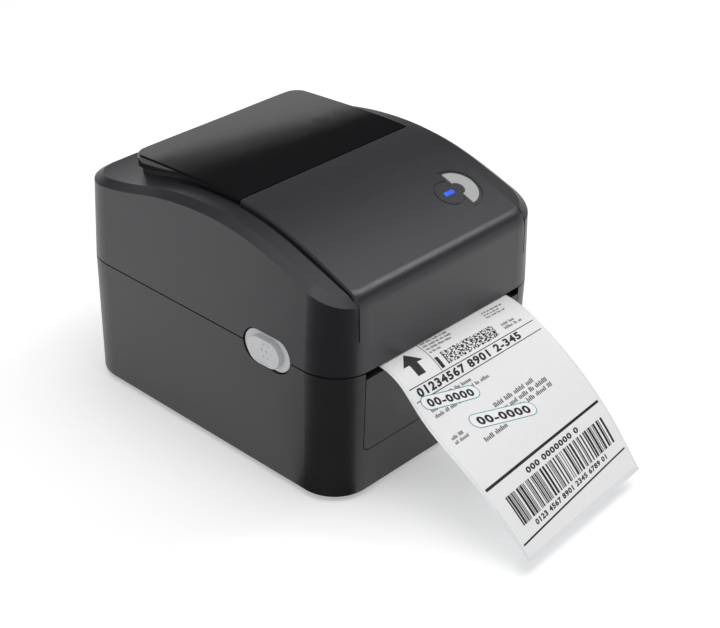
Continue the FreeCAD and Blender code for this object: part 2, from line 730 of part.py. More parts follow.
def hook_ear(y):
    ear = box(HOOK_X - 4, HOOK_X + 4, y - 1.25, y + 1.25, HOOK_Z - 4, DECK_TOP)
    return ear.cut(cylinder_y(PIN_RADIUS + 0.02, y - 3, y + 3, HOOK_X, HOOK_Z))


def media_tray():
    bay_inner = BAY_HALF_X - BAY_WALL
    bay = box(-BAY_HALF_X, BAY_HALF_X, BAY_FRONT_Y, BAY_REAR_Y, BAY_FLOOR_TOP - 2, DECK_TOP)
    deck = box(-DECK_HALF_X, DECK_HALF_X, BAY_FRONT_Y - 36, DECK_REAR_Y, DECK_TOP - DECK_THICK, DECK_TOP)
    deck = deck.common(base_form(WALL + 0.6, 60, 79))
    hollow = box(-bay_inner, bay_inner, BAY_FRONT_Y + BAY_WALL, BAY_REAR_Y - BAY_WALL, BAY_FLOOR_TOP, SKY)
    slot_z0 = REAR_SLOT_Z - REAR_SLOT_HEIGHT / 2
    slot_z1 = REAR_SLOT_Z + REAR_SLOT_HEIGHT / 2
    rear_slot = box(-REAR_SLOT_HALF_X, REAR_SLOT_HALF_X, BAY_REAR_Y - 5, BAY_REAR_Y + 5, slot_z0, slot_z1)
    sensor_slot = box(-9, 9, -71, -63, 60, SKY)
    foot_slots = [box(s * 57.5 - 7.5, s * 57.5 + 7.5, ROLL_Y - 11, ROLL_Y + 11, 5, BAY_FLOOR_TOP + 1)
                  for s in (-1, 1)]
    relief = [box(-100, 100, DECK_REAR_Y - 3, 110, DECK_TOP - 10, DECK_TOP + 10)]
    ears = [hook_ear(LATCH_Y + s * 8.9) for s in (-1, 1)]
    hooks = both_sides(hook_opening()) + both_sides(release_notch())
    screws = [cylinder_z(SCREW_CLEAR, DECK_TOP - 5, DECK_TOP + 1, x, y) for x, y in TRAY_POSTS]
    tray = union([bay, deck])
    tray = without(tray, [hollow, rear_slot, sensor_slot] + foot_slots + relief + hooks + screws)
    post_reliefs = [cylinder_z(4.2, 0, DECK_TOP - DECK_THICK, x, y) for x, y in TRAY_POSTS]
    tray = tray.cut(post_reliefs)
    return union([tray] + ears + [mirrored(e) for e in ears])


def tray_screws():
    screws = []
    for x, y in TRAY_POSTS:
        head = cylinder_z(SCREW_HEAD, DECK_TOP, DECK_TOP + 1.2, x, y)
        shank = cylinder_z(SCREW_SHANK, DECK_TOP - 9, DECK_TOP + 0.1, x, y)
        slot = box(x - 3, x + 3, y - 0.35, y + 0.35, DECK_TOP + 0.7, DECK_TOP + 2)
        screws.append(union([head, shank]).cut(slot))
    return Part.makeCompound(screws)


def gap_sensor():
    body = box(-8.5, 8.5, -70.5, -63.5, 70, DECK_TOP - 0.2)
    lens = box(-2.5, 2.5, -68.5, -65.5, DECK_TOP - 0.5, DECK_TOP + 0.6)
    return union([body, lens])


def latch_pins():
    pins = []
    for side in (-1, 1):
        pins.append(cylinder_y(PIN_RADIUS, LATCH_Y - 10.15, LATCH_Y + 10.15, side * HOOK_X, HOOK_Z))
    return Part.makeCompound(pins)


def latch_hook():
    thick = 3.0
    face = HOOK_X + thick / 2
    arm = box(HOOK_X - thick / 2, face, LATCH_Y - 6, LATCH_Y + 6, HOOK_Z - 4, 90)
    nose = prism_y([(face - 0.5, 86.2), (HOOK_NOSE_X, 86.2), (HOOK_NOSE_X, 87.4), (face - 0.5, 90)],
                   LATCH_Y - 6, LATCH_Y + 6)
    boss = cylinder_y(3.2, LATCH_Y - 6, LATCH_Y + 6, HOOK_X, HOOK_Z)
    body = union([arm, nose, boss])
    coil_room = cylinder_y(3.6, LATCH_Y - 3, LATCH_Y + 3, HOOK_X, HOOK_Z)
    coil_room = coil_room.cut(cylinder_y(2.2, LATCH_Y - 4, LATCH_Y + 4, HOOK_X, HOOK_Z))
    window = box(HOOK_X - 5, HOOK_X + 5, LATCH_Y - 3, LATCH_Y + 3, HOOK_Z - 5, HOOK_Z + 8)
    window = window.cut(cylinder_y(2.2, LATCH_Y - 4, LATCH_Y + 4, HOOK_X, HOOK_Z))
    body = without(body, [coil_room, window])
    return body.cut(cylinder_y(PIN_RADIUS + RUNNING, LATCH_Y - 10, LATCH_Y + 10, HOOK_X, HOOK_Z))


def latch_spring():
    wire_radius = 0.3
    radius = 2.2 + 0.1 + wire_radius
    height = 4.4
    helix = Part.makeHelix(0.9, height, radius)
    start = Part.Wire([Part.makeCircle(wire_radius, V(radius, 0, 0), V(0, 1, 0))])
    coil = Part.Wire(helix.Edges).makePipeShell([start], True, False)
    coil.rotate(V(0, 0, 0), V(1, 0, 0), -90)
    coil.translate(V(HOOK_X, LATCH_Y - height / 2, HOOK_Z))
    return coil


def latch_button():
    outer_x = HALF_X - FLANGE_SINK
    inner_x = outer_x - FLANGE_THICKNESS
    flange = stadium_x(FLANGE_LENGTH, FLANGE_HEIGHT, LATCH_Y, SEAM_HEIGHT, inner_x, outer_x)
    cap_top = HALF_X + CAP_PROUD
    cap = stadium_x(CAP_LENGTH, CAP_HEIGHT, LATCH_Y, SEAM_HEIGHT, outer_x - 1, cap_top)
    rim = [e for e in cap.Edges if e.BoundBox.XMin > cap_top - 0.1]
    cap = cap.makeFillet(0.6, rim)
    dish_radius = 60.0
    dish = Part.makeSphere(dish_radius, V(cap_top + dish_radius - 0.7, LATCH_Y, SEAM_HEIGHT))
    rim_width = 1.3
    inner = stadium_x(CAP_LENGTH - 2 * rim_width, CAP_HEIGHT - 2 * rim_width, LATCH_Y, SEAM_HEIGHT,
                      outer_x, cap_top + 1)
    cap = cap.cut(dish.common(inner))
    stem = box(HOOK_X + 2, outer_x - 1, LATCH_Y - 5, LATCH_Y + 5, SEAM_HEIGHT - 0.8, SEAM_HEIGHT + 1.2)
    body = union([flange, cap, stem])
    return union([body] + grip_dots(cap_top))


def grip_dots(cap_top):
    pitch = 3.65
    dots = []
    for row, (count, start) in enumerate(((3, 0.6), (4, 1.9), (3, 0.6))):
        z = SEAM_HEIGHT + 4.6 - 3.7 * row
        for i in range(count):
            y = LATCH_Y + start - pitch * i
            dots.append(cylinder_x(0.65, cap_top - 1.4, cap_top - 0.25, y, z))
    return dots


# ---------------------------------------------------------------- rack, guides and roll

def involute(angle):
    return math.tan(angle) - angle


def tooth_half_angle(teeth, radius):
    pitch_radius = GEAR_MODULE * teeth / 2
    base_radius = pitch_radius * math.cos(PRESSURE_ANGLE)
    half = math.pi / (2 * teeth) - TOOTH_BACKLASH / (2 * pitch_radius)
    here = math.acos(min(1.0, base_radius / radius))
    return half + involute(PRESSURE_ANGLE) - involute(here)


def gear_outline(teeth, phase):
    pitch_radius = GEAR_MODULE * teeth / 2
    root = pitch_radius - TOOTH_DEDENDUM * GEAR_MODULE
    tip = pitch_radius + TOOTH_ADDENDUM * GEAR_MODULE
    base_radius = pitch_radius * math.cos(PRESSURE_ANGLE)
    steps = 4
    low = max(root, base_radius) + 0.01
    radii = [root] + [low + (tip - low) * i / steps for i in range(steps + 1)]
    points = []
    for tooth in range(teeth):
        centre = phase + 2 * math.pi * tooth / teeth
        flank = [(r, tooth_half_angle(teeth, max(r, low))) for r in radii]
        for r, half in flank:
            points.append((r * math.cos(centre - half), r * math.sin(centre - half)))
        for r, half in reversed(flank):
            points.append((r * math.cos(centre + half), r * math.sin(centre + half)))
    return points


def gear_x(teeth, phase, x0, width, y, z, bore):
    corners = [V(x0, y + a, z + b) for a, b in gear_outline(teeth, phase)]
    blank = Part.Face(Part.makePolygon(corners + corners[:1])).extrude(V(width, 0, 0))
    return blank.cut(cylinder_x(bore, x0 - 1, x0 + width + 1, y, z)) if bore else blank


def gear_centre():
    first = GEAR_MODULE * (PLATEN_TEETH + IDLER_TEETH) / 2
    second = GEAR_MODULE * (IDLER_TEETH + PINION_TEETH) / 2
    dy = MOTOR_Y - PLATEN_Y
    dz = MOTOR_Z - PLATEN_Z
    span = math.hypot(dy, dz)
    along = (first ** 2 - second ** 2 + span ** 2) / (2 * span)
    across = math.sqrt(first ** 2 - along ** 2)
    return (PLATEN_Y + (along * dy + across * dz) / span,
            PLATEN_Z + (along * dz - across * dy) / span)


def meshing_phase(teeth, other_teeth, other_phase, angle):
    """Phase of a gear that meets another, whose centre lies at angle from the other's centre."""
    position = (angle - other_phase) * other_teeth / (2 * math.pi)
    fraction = position - math.floor(position)
    return angle + math.pi + (fraction + 0.5) * 2 * math.pi / teeth


def gear_phases():
    idler_y, idler_z = gear_centre()
    to_idler = math.atan2(idler_z - PLATEN_Z, idler_y - PLATEN_Y)
    to_pinion = math.atan2(MOTOR_Z - idler_z, MOTOR_Y - idler_y)
    idler = meshing_phase(IDLER_TEETH, PLATEN_TEETH, 0.0, to_idler)
    pinion = meshing_phase(PINION_TEETH, IDLER_TEETH, idler, to_pinion)
    return idler, pinion


def platen_gear():
    bore = SHAFT_RADIUS + SNUG
    outer_x = GEAR_X + GEAR_WIDTH
    gear = gear_x(PLATEN_TEETH, 0.0, GEAR_X, GEAR_WIDTH, PLATEN_Y, PLATEN_Z, bore)
    hub = tube_x(5.0, bore, outer_x, outer_x + 3, PLATEN_Y, PLATEN_Z)
    return union([gear, hub])


def idler_gear():
    y, z = gear_centre()
    idler_phase = gear_phases()[0]
    gear = gear_x(IDLER_TEETH, idler_phase, GEAR_X, GEAR_WIDTH, y, z, 2.0 + RUNNING)
    recess = tube_x(12.5, 5.0, GEAR_X + GEAR_WIDTH - 1.5, GEAR_X + GEAR_WIDTH + 1, y, z)
    return gear.cut(recess)


def idler_axle():
    y, z = gear_centre()
    x0 = FRAME_X
    post = cylinder_x(2.0, x0, GEAR_X + GEAR_WIDTH + 1.2, y, z)
    shoulder = cylinder_x(4.0, x0 + FRAME_SHEET, GEAR_X - FIT, y, z)
    clip = cylinder_x(3.6, GEAR_X + GEAR_WIDTH + 0.4, GEAR_X + GEAR_WIDTH + 1.2, y, z)
    return union([post, shoulder, clip])


def motor_pinion():
    pinion_phase = gear_phases()[1]
    return gear_x(PINION_TEETH, pinion_phase, GEAR_X, GEAR_WIDTH, MOTOR_Y, MOTOR_Z, 1.5)


def motor_shaft():
    return cylinder_x(1.5, FRAME_X - 6, GEAR_X + GEAR_WIDTH + 1.5, MOTOR_Y, MOTOR_Z)


def stepper_motor():
    x1 = FRAME_X - 0.05
    x0 = x1 - MOTOR_LENGTH
    can = cylinder_x(MOTOR_RADIUS, x0, x1 - 1, MOTOR_Y, MOTOR_Z)
    ring = cylinder_x(MOTOR_RADIUS + 0.6, x0 + 9, x0 + 18, MOTOR_Y, MOTOR_Z)
    ears = stadium_x(49, 9, MOTOR_Y, MOTOR_Z, x1 - 1, x1)
    ears.rotate(V(x1, MOTOR_Y, MOTOR_Z), V(1, 0, 0), 60)
    connector = box(x0 + 4, x0 + 14, MOTOR_Y + 6, MOTOR_Y + 14, MOTOR_Z - 20, MOTOR_Z - 8)
    bore = cylinder_x(2.0, x1 - 8, x1 + 1, MOTOR_Y, MOTOR_Z)
    return without(union([can, ring, ears, connector]), [bore] + motor_screw_holes(SCREW_CLEAR))


def motor_screw_places():
    reach = 20.0
    angle = math.radians(60)
    dy = reach * math.cos(angle)
    dz = reach * math.sin(angle)
    return [(MOTOR_Y + s * dy, MOTOR_Z + s * dz) for s in (-1, 1)]


def motor_screw_holes(radius):
    return [cylinder_x(radius, FRAME_X - 6, FRAME_X + 6, y, z) for y, z in motor_screw_places()]


def motor_screws():
    screws = []
    for y, z in motor_screw_places():
        head = cylinder_x(2.6, FRAME_X + FRAME_SHEET, FRAME_X + FRAME_SHEET + 1.1, y, z)
        shank = cylinder_x(1.45, FRAME_X - 3.5, FRAME_X + FRAME_SHEET + 0.1, y, z)
        screws.append(union([head, shank]))
    return Part.makeCompound(screws)


def platen_frame():
    side = prism_x([(FRAME_FRONT_Y, 12), (FRAME_FRONT_Y, 77), (-79, 77), (-73, 74), (-46, 62),
                    (FRAME_REAR_Y, 48), (FRAME_REAR_Y, 12)], FRAME_X, FRAME_X + FRAME_SHEET)
    floor = box(-FRAME_X - FRAME_SHEET, FRAME_X + FRAME_SHEET, FRAME_FRONT_Y, FRAME_REAR_Y, 10.5, 12)
    tie = box(-FRAME_X, FRAME_X, -41, -39.5, 12, 19)
    y, z = gear_centre()
    right = without(side, [cylinder_x(2.05, 50, 70, y, z), cylinder_x(4.0, 50, 70, MOTOR_Y, MOTOR_Z)])
    right = without(right, motor_screw_holes(SCREW_CLEAR))
    frame = union([right, mirrored(side), floor, tie])
    bush_holes = [cylinder_x(5.05, -70, 70, PLATEN_Y, PLATEN_Z)]
    screw_holes = [cylinder_z(1.7, 5, 15, x, y) for x, y in FRAME_SCREWS]
    lightening = [box(-42, 42, -82, -48, 5, 15)]
    return without(frame, bush_holes + screw_holes + lightening)


def frame_screws():
    screws = []
    for x, y in FRAME_SCREWS:
        head = cylinder_z(SCREW_HEAD, 12, 13.6, x, y)
        shank = cylinder_z(SCREW_PILOT, 6.2, 12.1, x, y)
        screws.append(union([head, shank]))
    return Part.makeCompound(screws)


def frame_spacers():
    spacers = []
    for x, y in FRAME_SCREWS:
        post = cylinder_z(4.0, FLOOR_TOP, 10.5, x, y)
        spacers.append(post.cut(cylinder_z(1.5, 4, 11, x, y)))
    return Part.makeCompound(spacers)


def platen_bushes():
    bushes = []
    for side in (-1, 1):
        inner = side * (FRAME_X - 1.0)
        outer = side * (FRAME_X + FRAME_SHEET)
        x0, x1 = sorted((inner, outer))
        sleeve = cylinder_x(5.0, x0, x1, PLATEN_Y, PLATEN_Z)
        f0, f1 = sorted((inner, side * (FRAME_X - 0.05)))
        flange = cylinder_x(6.3, f0, f1, PLATEN_Y, PLATEN_Z)
        hole = cylinder_x(SHAFT_RADIUS + RUNNING, x0 - 1, x1 + 1, PLATEN_Y, PLATEN_Z)
        bushes.append(union([sleeve, flange]).cut(hole))
    return Part.makeCompound(bushes)


def platen_shaft():
    left = -FRAME_X - FRAME_SHEET - 2
    right = GEAR_X + GEAR_WIDTH + 4
    return cylinder_x(SHAFT_RADIUS, left, right, PLATEN_Y, PLATEN_Z)


def platen_roller():
    half = PLATEN_LENGTH / 2
    return tube_x(PLATEN_RADIUS, SHAFT_RADIUS, -half, half, PLATEN_Y, PLATEN_Z)


def guide_plate():
    x0 = GUIDE_X
    x1 = GUIDE_X + GUIDE_THICK
    disc = cylinder_x(GUIDE_RADIUS, x0, x1, ROLL_Y, ROLL_Z)
    leg = box(x0, x1, ROLL_Y - 20, ROLL_Y + 20, BAY_FLOOR_TOP + 0.6, ROLL_Z)
    arm = prism_x([(ROLL_Y - 20, 62), (-30, 80.5), (-50, 80.5), (-50, 93), (-22, 104), (ROLL_Y, 89)], x0, x1)
    plate = union([disc, leg, arm])
    slots = [cylinder_x(5, x0 - 1, x1 + 1, ROLL_Y + s * 12, 32) for s in (-1, 1)]
    stud = tube_x(CORE_INNER - 0.4, 8.0, x0 - 9, x0 + 0.5, ROLL_Y, ROLL_Z)
    rim = tube_x(GUIDE_RADIUS - 2, GUIDE_RADIUS - 4, x1 - 0.2, x1 + 1, ROLL_Y, ROLL_Z)
    bottom = box(x0, x1 + 3, ROLL_Y - 10, ROLL_Y + 10, BAY_FLOOR_TOP + 0.6, BAY_FLOOR_TOP + 3)
    return union([without(plate, slots), stud, rim, bottom])


def guide_foot(side):
    x0, x1 = sorted((side * (GUIDE_X - 0.5), side * (GUIDE_X + GUIDE_THICK + 1.5)))
    y0, y1 = sorted((ROLL_Y + side * 7.2, ROLL_Y + side * 10.3))
    return box(x0, x1, y0, y1, RACK_BOTTOM, BAY_FLOOR_TOP + 1)


def rack_tooth(x, pitch_line):
    half = math.pi * GEAR_MODULE / 4 - TOOTH_BACKLASH / 2
    slope = math.tan(PRESSURE_ANGLE)
    tip = 0.68
    foot = half + slope * TOOTH_DEDENDUM
    point = half - slope * tip
    root_y = pitch_line + TOOTH_DEDENDUM + 0.1
    tip_y = pitch_line - tip
    return prism_z([(x - foot, root_y), (x - point, tip_y), (x + point, tip_y), (x + foot, root_y)],
                   RACK_BOTTOM, RACK_TOP)


def rack(side):
    """Toothed bar under the bay floor, on the +Y side of the pinion for the right guide."""
    pitch_line = RACK_PINION_TEETH * GEAR_MODULE / 2
    inner_end = 18.0
    bar = box(-inner_end, GUIDE_X + 1, pitch_line + TOOTH_DEDENDUM, pitch_line + 4.3, RACK_BOTTOM, RACK_TOP)
    pitch = math.pi * GEAR_MODULE
    count = int(inner_end / pitch)
    teeth = [rack_tooth((i + 0.5) * pitch, pitch_line) for i in range(-count, count)]
    bar = union([bar] + teeth)
    if side < 0:
        bar.rotate(V(0, 0, 0), V(0, 0, 1), 180)
    bar.translate(V(0, ROLL_Y, 0))
    return bar


def media_guide_right():
    return union([guide_plate(), guide_foot(1), rack(1)])


def media_guide_left():
    return union([mirrored(guide_plate()), guide_foot(-1), rack(-1)])


def guide_pinion():
    outline = gear_outline(RACK_PINION_TEETH, math.pi / 2)
    corners = [V(a, b + ROLL_Y, RACK_BOTTOM + 0.2) for a, b in outline]
    gear = Part.Face(Part.makePolygon(corners + corners[:1])).extrude(V(0, 0, 3.0))
    return gear.cut(cylinder_z(1.5 + RUNNING, 0, 20, 0, ROLL_Y))


def pinion_pin():
    shank = cylinder_z(1.5, RACK_BOTTOM - 0.4, BAY_FLOOR_TOP - 2, 0, ROLL_Y)
    head = cylinder_z(3.0, RACK_BOTTOM - 1.0, RACK_BOTTOM - 0.3, 0, ROLL_Y)
    return union([shank, head])


def label_roll():
    half = LABEL_WIDTH / 2 + 0.9
    return tube_x(ROLL_RADIUS, CORE_OUTER, -half, half, ROLL_Y, ROLL_Z)


def roll_core():
    half = LINER_WIDTH / 2
    return tube_x(CORE_OUTER, CORE_INNER, -half, half, ROLL_Y, ROLL_Z)


# ---------------------------------------------------------------- web and label

def web_angle():
    """Slope of the straight run from the guide lip up to the roll."""
    pivot_z = WEB_Z + WEB_BEND_RADIUS
    dy = ROLL_Y - WEB_BEND_Y
    dz = ROLL_Z - pivot_z
    reach = ROLL_RADIUS + FIT
    span = math.hypot(dy, dz)
    return math.asin((reach + WEB_BEND_RADIUS) / span) + math.atan2(dz, dy)


# The free end's edges (y, z), from the exit to the cut end, at the left and the right edge of the web
LEFT_DROOP = [(-131.9, 61.3), (-159.8, 43.9), (-187.5, 26.3), (-209.5, 8.6)]
RIGHT_DROOP = [(-126.8, 72.6), (-156.0, 55.8), (-182.0, 34.0), (-203.5, 9.6)]
DROOP_START_Y = -100.0
LABEL_START_Y = -80.0
LABEL_END_MARGIN = 1.6


def web_strip(x, droop, low, high):
    """Closed outline of the sheet between two depths, low and high, above its underside."""
    slope = web_angle()
    outlines = []
    for level in (low, high):
        bend = WEB_BEND_RADIUS - level
        centre = V(x, WEB_BEND_Y, WEB_Z + WEB_BEND_RADIUS)
        bend_end = centre + V(0, bend * math.sin(slope), -bend * math.cos(slope))
        bend_middle = centre + V(0, bend * math.sin(slope / 2), -bend * math.cos(slope / 2))
        bend_start = centre + V(0, 0, -bend)
        reach = ROLL_RADIUS + FIT + level
        roll_end = V(x, ROLL_Y - reach * math.sin(slope), ROLL_Z + reach * math.cos(slope))
        exit_point = V(x, DROOP_START_Y, WEB_Z + level)
        free = Part.BSplineCurve()
        normals = droop_normals(droop)
        points = [exit_point]
        points += [V(x, y + level * n[0], z + level * n[1]) for (y, z), n in zip(droop, normals)]
        free.interpolate(Points=points, InitialTangent=V(0, -1, 0), FinalTangent=end_tangent(droop, x))
        outlines.append((roll_end, bend_end, bend_middle, bend_start, exit_point, free, points[-1]))
    return outlines


def droop_normals(droop):
    normals = []
    for i, point in enumerate(droop):
        before = droop[max(0, i - 1)]
        after = droop[min(len(droop) - 1, i + 1)]
        length = math.hypot(after[0] - before[0], after[1] - before[1])
        normals.append(((after[1] - before[1]) / length, -(after[0] - before[0]) / length))
    return normals


def end_tangent(droop, x):
    (y0, z0), (y1, z1) = droop[-2:]
    return V(0, y1 - y0, z1 - z0).normalize()


def liner_section(x, droop):
    low, high = web_strip(x, droop, 0, LINER_THICK)
    edges = [Part.makeLine(low[0], low[1]), Part.Arc(low[1], low[2], low[3]).toShape(),
             Part.makeLine(low[3], low[4]), low[5].toShape(), Part.makeLine(low[6], high[6]),
             high[5].toShape(), Part.makeLine(high[4], high[3]),
             Part.Arc(high[3], high[2], high[1]).toShape(), Part.makeLine(high[1], high[0]),
             Part.makeLine(high[0], low[0])]
    return Part.Wire(Part.__sortEdges__(edges))


def label_web():
    left = liner_section(-LINER_WIDTH / 2, LEFT_DROOP)
    right = liner_section(LINER_WIDTH / 2, RIGHT_DROOP)
    return Part.makeLoft([left, right], True, True)


def label_section(x, droop):
    low, high = web_strip(x, droop, LINER_THICK, LINER_THICK + LABEL_THICK)
    edges = [Part.makeLine(low[3], low[4]), low[5].toShape(), Part.makeLine(low[6], high[6]),
             high[5].toShape(), Part.makeLine(high[4], high[3]), Part.makeLine(high[3], low[3])]
    return Part.Wire(Part.__sortEdges__(edges))


def printed_label():
    half = LINER_WIDTH / 2
    sheet = Part.makeLoft([label_section(-half, LEFT_DROOP), label_section(half, RIGHT_DROOP)], True, True)
    edge = LABEL_WIDTH / 2
    left_y = LEFT_DROOP[-1][0] + LABEL_END_MARGIN
    right_y = RIGHT_DROOP[-1][0] + LABEL_END_MARGIN
    plan = prism_z([(-edge, left_y), (edge, right_y), (edge, LABEL_START_Y), (-edge, LABEL_START_Y)], 0, SKY)
    return sheet.common(plan)


# ---------------------------------------------------------------- electronics

def board_holes(radius, y0, y1):
    return [cylinder_y(radius, y0, y1, x, z) for x, z in BOARD_SCREWS]


def main_board():
    return without(box(-72, 72, PCB_Y, PCB_Y + PCB_THICK, 9, 58), board_holes(1.6, PCB_Y - 1, PCB_Y + 3))


def board_chips():
    y1 = PCB_Y - 0.02
    parts = [box(-20, -6, y1 - 1.6, y1, 24, 38), box(-44, -36, y1 - 1.5, y1, 20, 30),
             box(34, 46, y1 - 9, y1, 40, 50), box(-64, -54, y1 - 6, y1, 18, 46),
             box(12, 22, y1 - 6, y1, 12, 18)]
    parts += [cylinder_y(4.0, y1 - 11, y1, x, 46) for x in (-30, 6, 18)]
    return Part.makeCompound(parts)


def board_screws():
    screws = []
    for x, z in BOARD_SCREWS:
        head = cylinder_y(2.6, PCB_Y - 1.4, PCB_Y, x, z)
        shank = cylinder_y(1.35, PCB_Y - 0.1, PCB_Y + 5, x, z)
        screws.append(union([head, shank]))
    return Part.makeCompound(screws)


def usb_port():
    y0 = PCB_Y + PCB_THICK + 0.02
    y1 = HALF_Y - 0.9
    shell = box(USB_X - 6, USB_X + 6, y0, y1, CONNECTOR_Z - 5.5, CONNECTOR_Z + 5.5)
    cavity = prism_y([(USB_X - 4.2, CONNECTOR_Z - 3.9), (USB_X + 4.2, CONNECTOR_Z - 3.9),
                      (USB_X + 4.2, CONNECTOR_Z + 2.3), (USB_X + 2.6, CONNECTOR_Z + 3.9),
                      (USB_X - 2.6, CONNECTOR_Z + 3.9), (USB_X - 4.2, CONNECTOR_Z + 2.3)], y1 - 8.2, y1 + 1)
    tongue = box(USB_X - 2.8, USB_X + 2.8, y1 - 8.3, y1 - 4.6, CONNECTOR_Z - 1.6, CONNECTOR_Z + 1.6)
    return union([shell.cut(cavity), tongue])


def power_inlet():
    y0 = PCB_Y + PCB_THICK + 0.02
    y1 = HALF_Y - 0.9
    block = box(POWER_X - 6.6, POWER_X + 6.6, y0, y1, CONNECTOR_Z - 5.6, CONNECTOR_Z + 5.6)
    bore = cylinder_y(3.4, y1 - 8.4, y1 + 1, POWER_X, CONNECTOR_Z)
    pin = cylinder_y(1.0, y1 - 8.5, y1 - 4.6, POWER_X, CONNECTOR_Z)
    return union([block.cut(bore), pin])


def switch_housing():
    y0 = REAR_INNER_Y - 7.5
    y1 = HALF_Y + 1.0
    body = box(SWITCH_X - 9.6, SWITCH_X + 9.6, y0, HALF_Y - 0.2, SWITCH_Z - 6.6, SWITCH_Z + 6.6)
    flange = box(SWITCH_X - 11.5, SWITCH_X + 11.5, HALF_Y - 0.2, y1, SWITCH_Z - 8.5, SWITCH_Z + 8.5)
    pocket = box(SWITCH_X - 8.4, SWITCH_X + 8.4, y0 + 1.5, y1 + 1, SWITCH_Z - 5.4, SWITCH_Z + 5.4)
    pivot = cylinder_z(1.1, SWITCH_Z - 6.2, SWITCH_Z + 6.2, SWITCH_X, HALF_Y - ROCKER_DEPTH)
    return without(union([body, flange]), [pocket, pivot])


def power_rocker():
    y_face = HALF_Y + 1.6
    low = HALF_Y - 6.5
    half = 7.4
    outline = [(-half, y_face - 2.4), (0, y_face - 1.5), (half, y_face + 0.1), (half - 0.8, low + 2.2),
               (2.0, low), (-2.0, low), (-half + 0.8, low + 0.8)]
    body = prism_z([(SWITCH_X + x, y) for x, y in outline], SWITCH_Z - 5.1, SWITCH_Z + 5.1)
    trunnion = cylinder_z(1.05, SWITCH_Z - 6.0, SWITCH_Z + 6.0, SWITCH_X, HALF_Y - ROCKER_DEPTH)
    return union([body, trunnion])


# ---------------------------------------------------------------- all nodes

SUBPARTS = {
    "lower_housing": lower_housing,
    "bottom_cover": bottom_cover,
    "bottom_screws": bottom_screws,
    "rubber_feet": rubber_feet,
    "front_panel": front_panel,
    "rear_panel": rear_panel,
    "hinge_pins": hinge_pins,
    "media_tray": media_tray,
    "tray_screws": tray_screws,
    "gap_sensor": gap_sensor,
    "latch_pins": latch_pins,
    "platen_frame": platen_frame,
    "frame_spacers": frame_spacers,
    "frame_screws": frame_screws,
    "platen_bushes": platen_bushes,
    "idler_axle": idler_axle,
    "stepper_motor": stepper_motor,
    "motor_screws": motor_screws,
    "pinion_pin": pinion_pin,
    "main_board": main_board,
    "board_components": board_chips,
    "board_screws": board_screws,
    "usb_port": usb_port,
    "power_inlet": power_inlet,
    "switch_housing": switch_housing,
    "label_web": label_web,
    "printed_label": printed_label,
    "upper_cover": upper_cover,
    "view_window": view_window,
    "light_pipe": light_pipe,
    "button_board": button_board,
    "head_bracket": head_bracket,
    "head_screws": head_screws,
    "head_springs": head_springs,
    "head_cable": head_cable,
    "tear_bar": tear_bar,
    "catch_plate_left": lambda: mirrored(catch_plate()),
    "catch_plate_right": catch_plate,
    "print_head": print_head,
    "head_heatsink": head_heatsink,
    "feed_button": feed_button,
    "latch_button_left": lambda: mirrored(latch_button()),
    "latch_button_right": latch_button,
    "latch_hook_left": lambda: mirrored(latch_hook()),
    "latch_hook_right": latch_hook,
    "latch_spring_left": lambda: mirrored(latch_spring()),
    "latch_spring_right": latch_spring,
    "platen_shaft": platen_shaft,
    "platen_roller": platen_roller,
    "platen_gear": platen_gear,
    "idler_gear": idler_gear,
    "motor_shaft": motor_shaft,
    "motor_pinion": motor_pinion,
    "label_roll": label_roll,
    "roll_core": roll_core,
    "media_guide_left": media_guide_left,
    "media_guide_right": media_guide_right,
    "guide_pinion": guide_pinion,
    "power_rocker": power_rocker,
}

os.makedirs("parts", exist_ok=True)
for node, make in SUBPARTS.items():
    make().exportStep(f"parts/{node}.step")
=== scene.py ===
import math
import random

import bmesh
import bpy
from mathutils import Matrix, Vector
from mathutils.bvhtree import BVHTree


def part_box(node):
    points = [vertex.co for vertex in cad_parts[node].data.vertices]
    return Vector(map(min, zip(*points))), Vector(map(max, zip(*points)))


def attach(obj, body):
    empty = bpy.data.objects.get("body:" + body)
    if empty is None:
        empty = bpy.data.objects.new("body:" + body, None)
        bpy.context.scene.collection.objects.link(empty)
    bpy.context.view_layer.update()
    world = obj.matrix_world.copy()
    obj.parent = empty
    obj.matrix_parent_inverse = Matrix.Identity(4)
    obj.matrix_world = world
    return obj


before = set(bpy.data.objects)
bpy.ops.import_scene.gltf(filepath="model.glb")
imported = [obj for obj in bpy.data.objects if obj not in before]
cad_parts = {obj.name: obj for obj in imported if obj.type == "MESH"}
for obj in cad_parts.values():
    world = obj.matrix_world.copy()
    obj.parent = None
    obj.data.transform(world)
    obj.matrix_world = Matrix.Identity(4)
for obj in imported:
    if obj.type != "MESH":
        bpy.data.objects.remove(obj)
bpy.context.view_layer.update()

MM = 0.001

# Camera, solved from the photograph's view of the body's own edges
CAMERA_TURN = -47.6804
CAMERA_RISE = 31.0869
CAMERA_ROLL = 1.478
CAMERA_PLACE = (-0.602519, -0.589363, 0.553345)
CAMERA_LENS = 83.455
SENSOR_WIDTH = 36.0
CLIP_START = 0.02

# Brightness of the surroundings at each height, from the horizon up to straight overhead
SKY_LEVELS = [(0.0, 1.0), (0.338, 0.98), (0.352, 0.30), (0.378, 0.06), (0.62, 0.10), (0.80, 0.45),
              (1.0, 0.60)]
SKY_BLUE = 1.01
SKY_STRENGTH = 0.85

# Softboxes: name, place, what it faces, width, height and power in watts
SOFTBOXES = [("top_box", (0.10, -0.15, 1.7), (0, -0.05, 0.1), 1.5, 1.5, 15),
             ("left_box", (-1.6, 0.6, 0.7), (0, 0, 0.08), 1.1, 0.9, 5),
             ("edge_box", (0.86, -0.34, 1.16), (0, -0.09, 0.12), 0.34, 0.34, 3.0)]

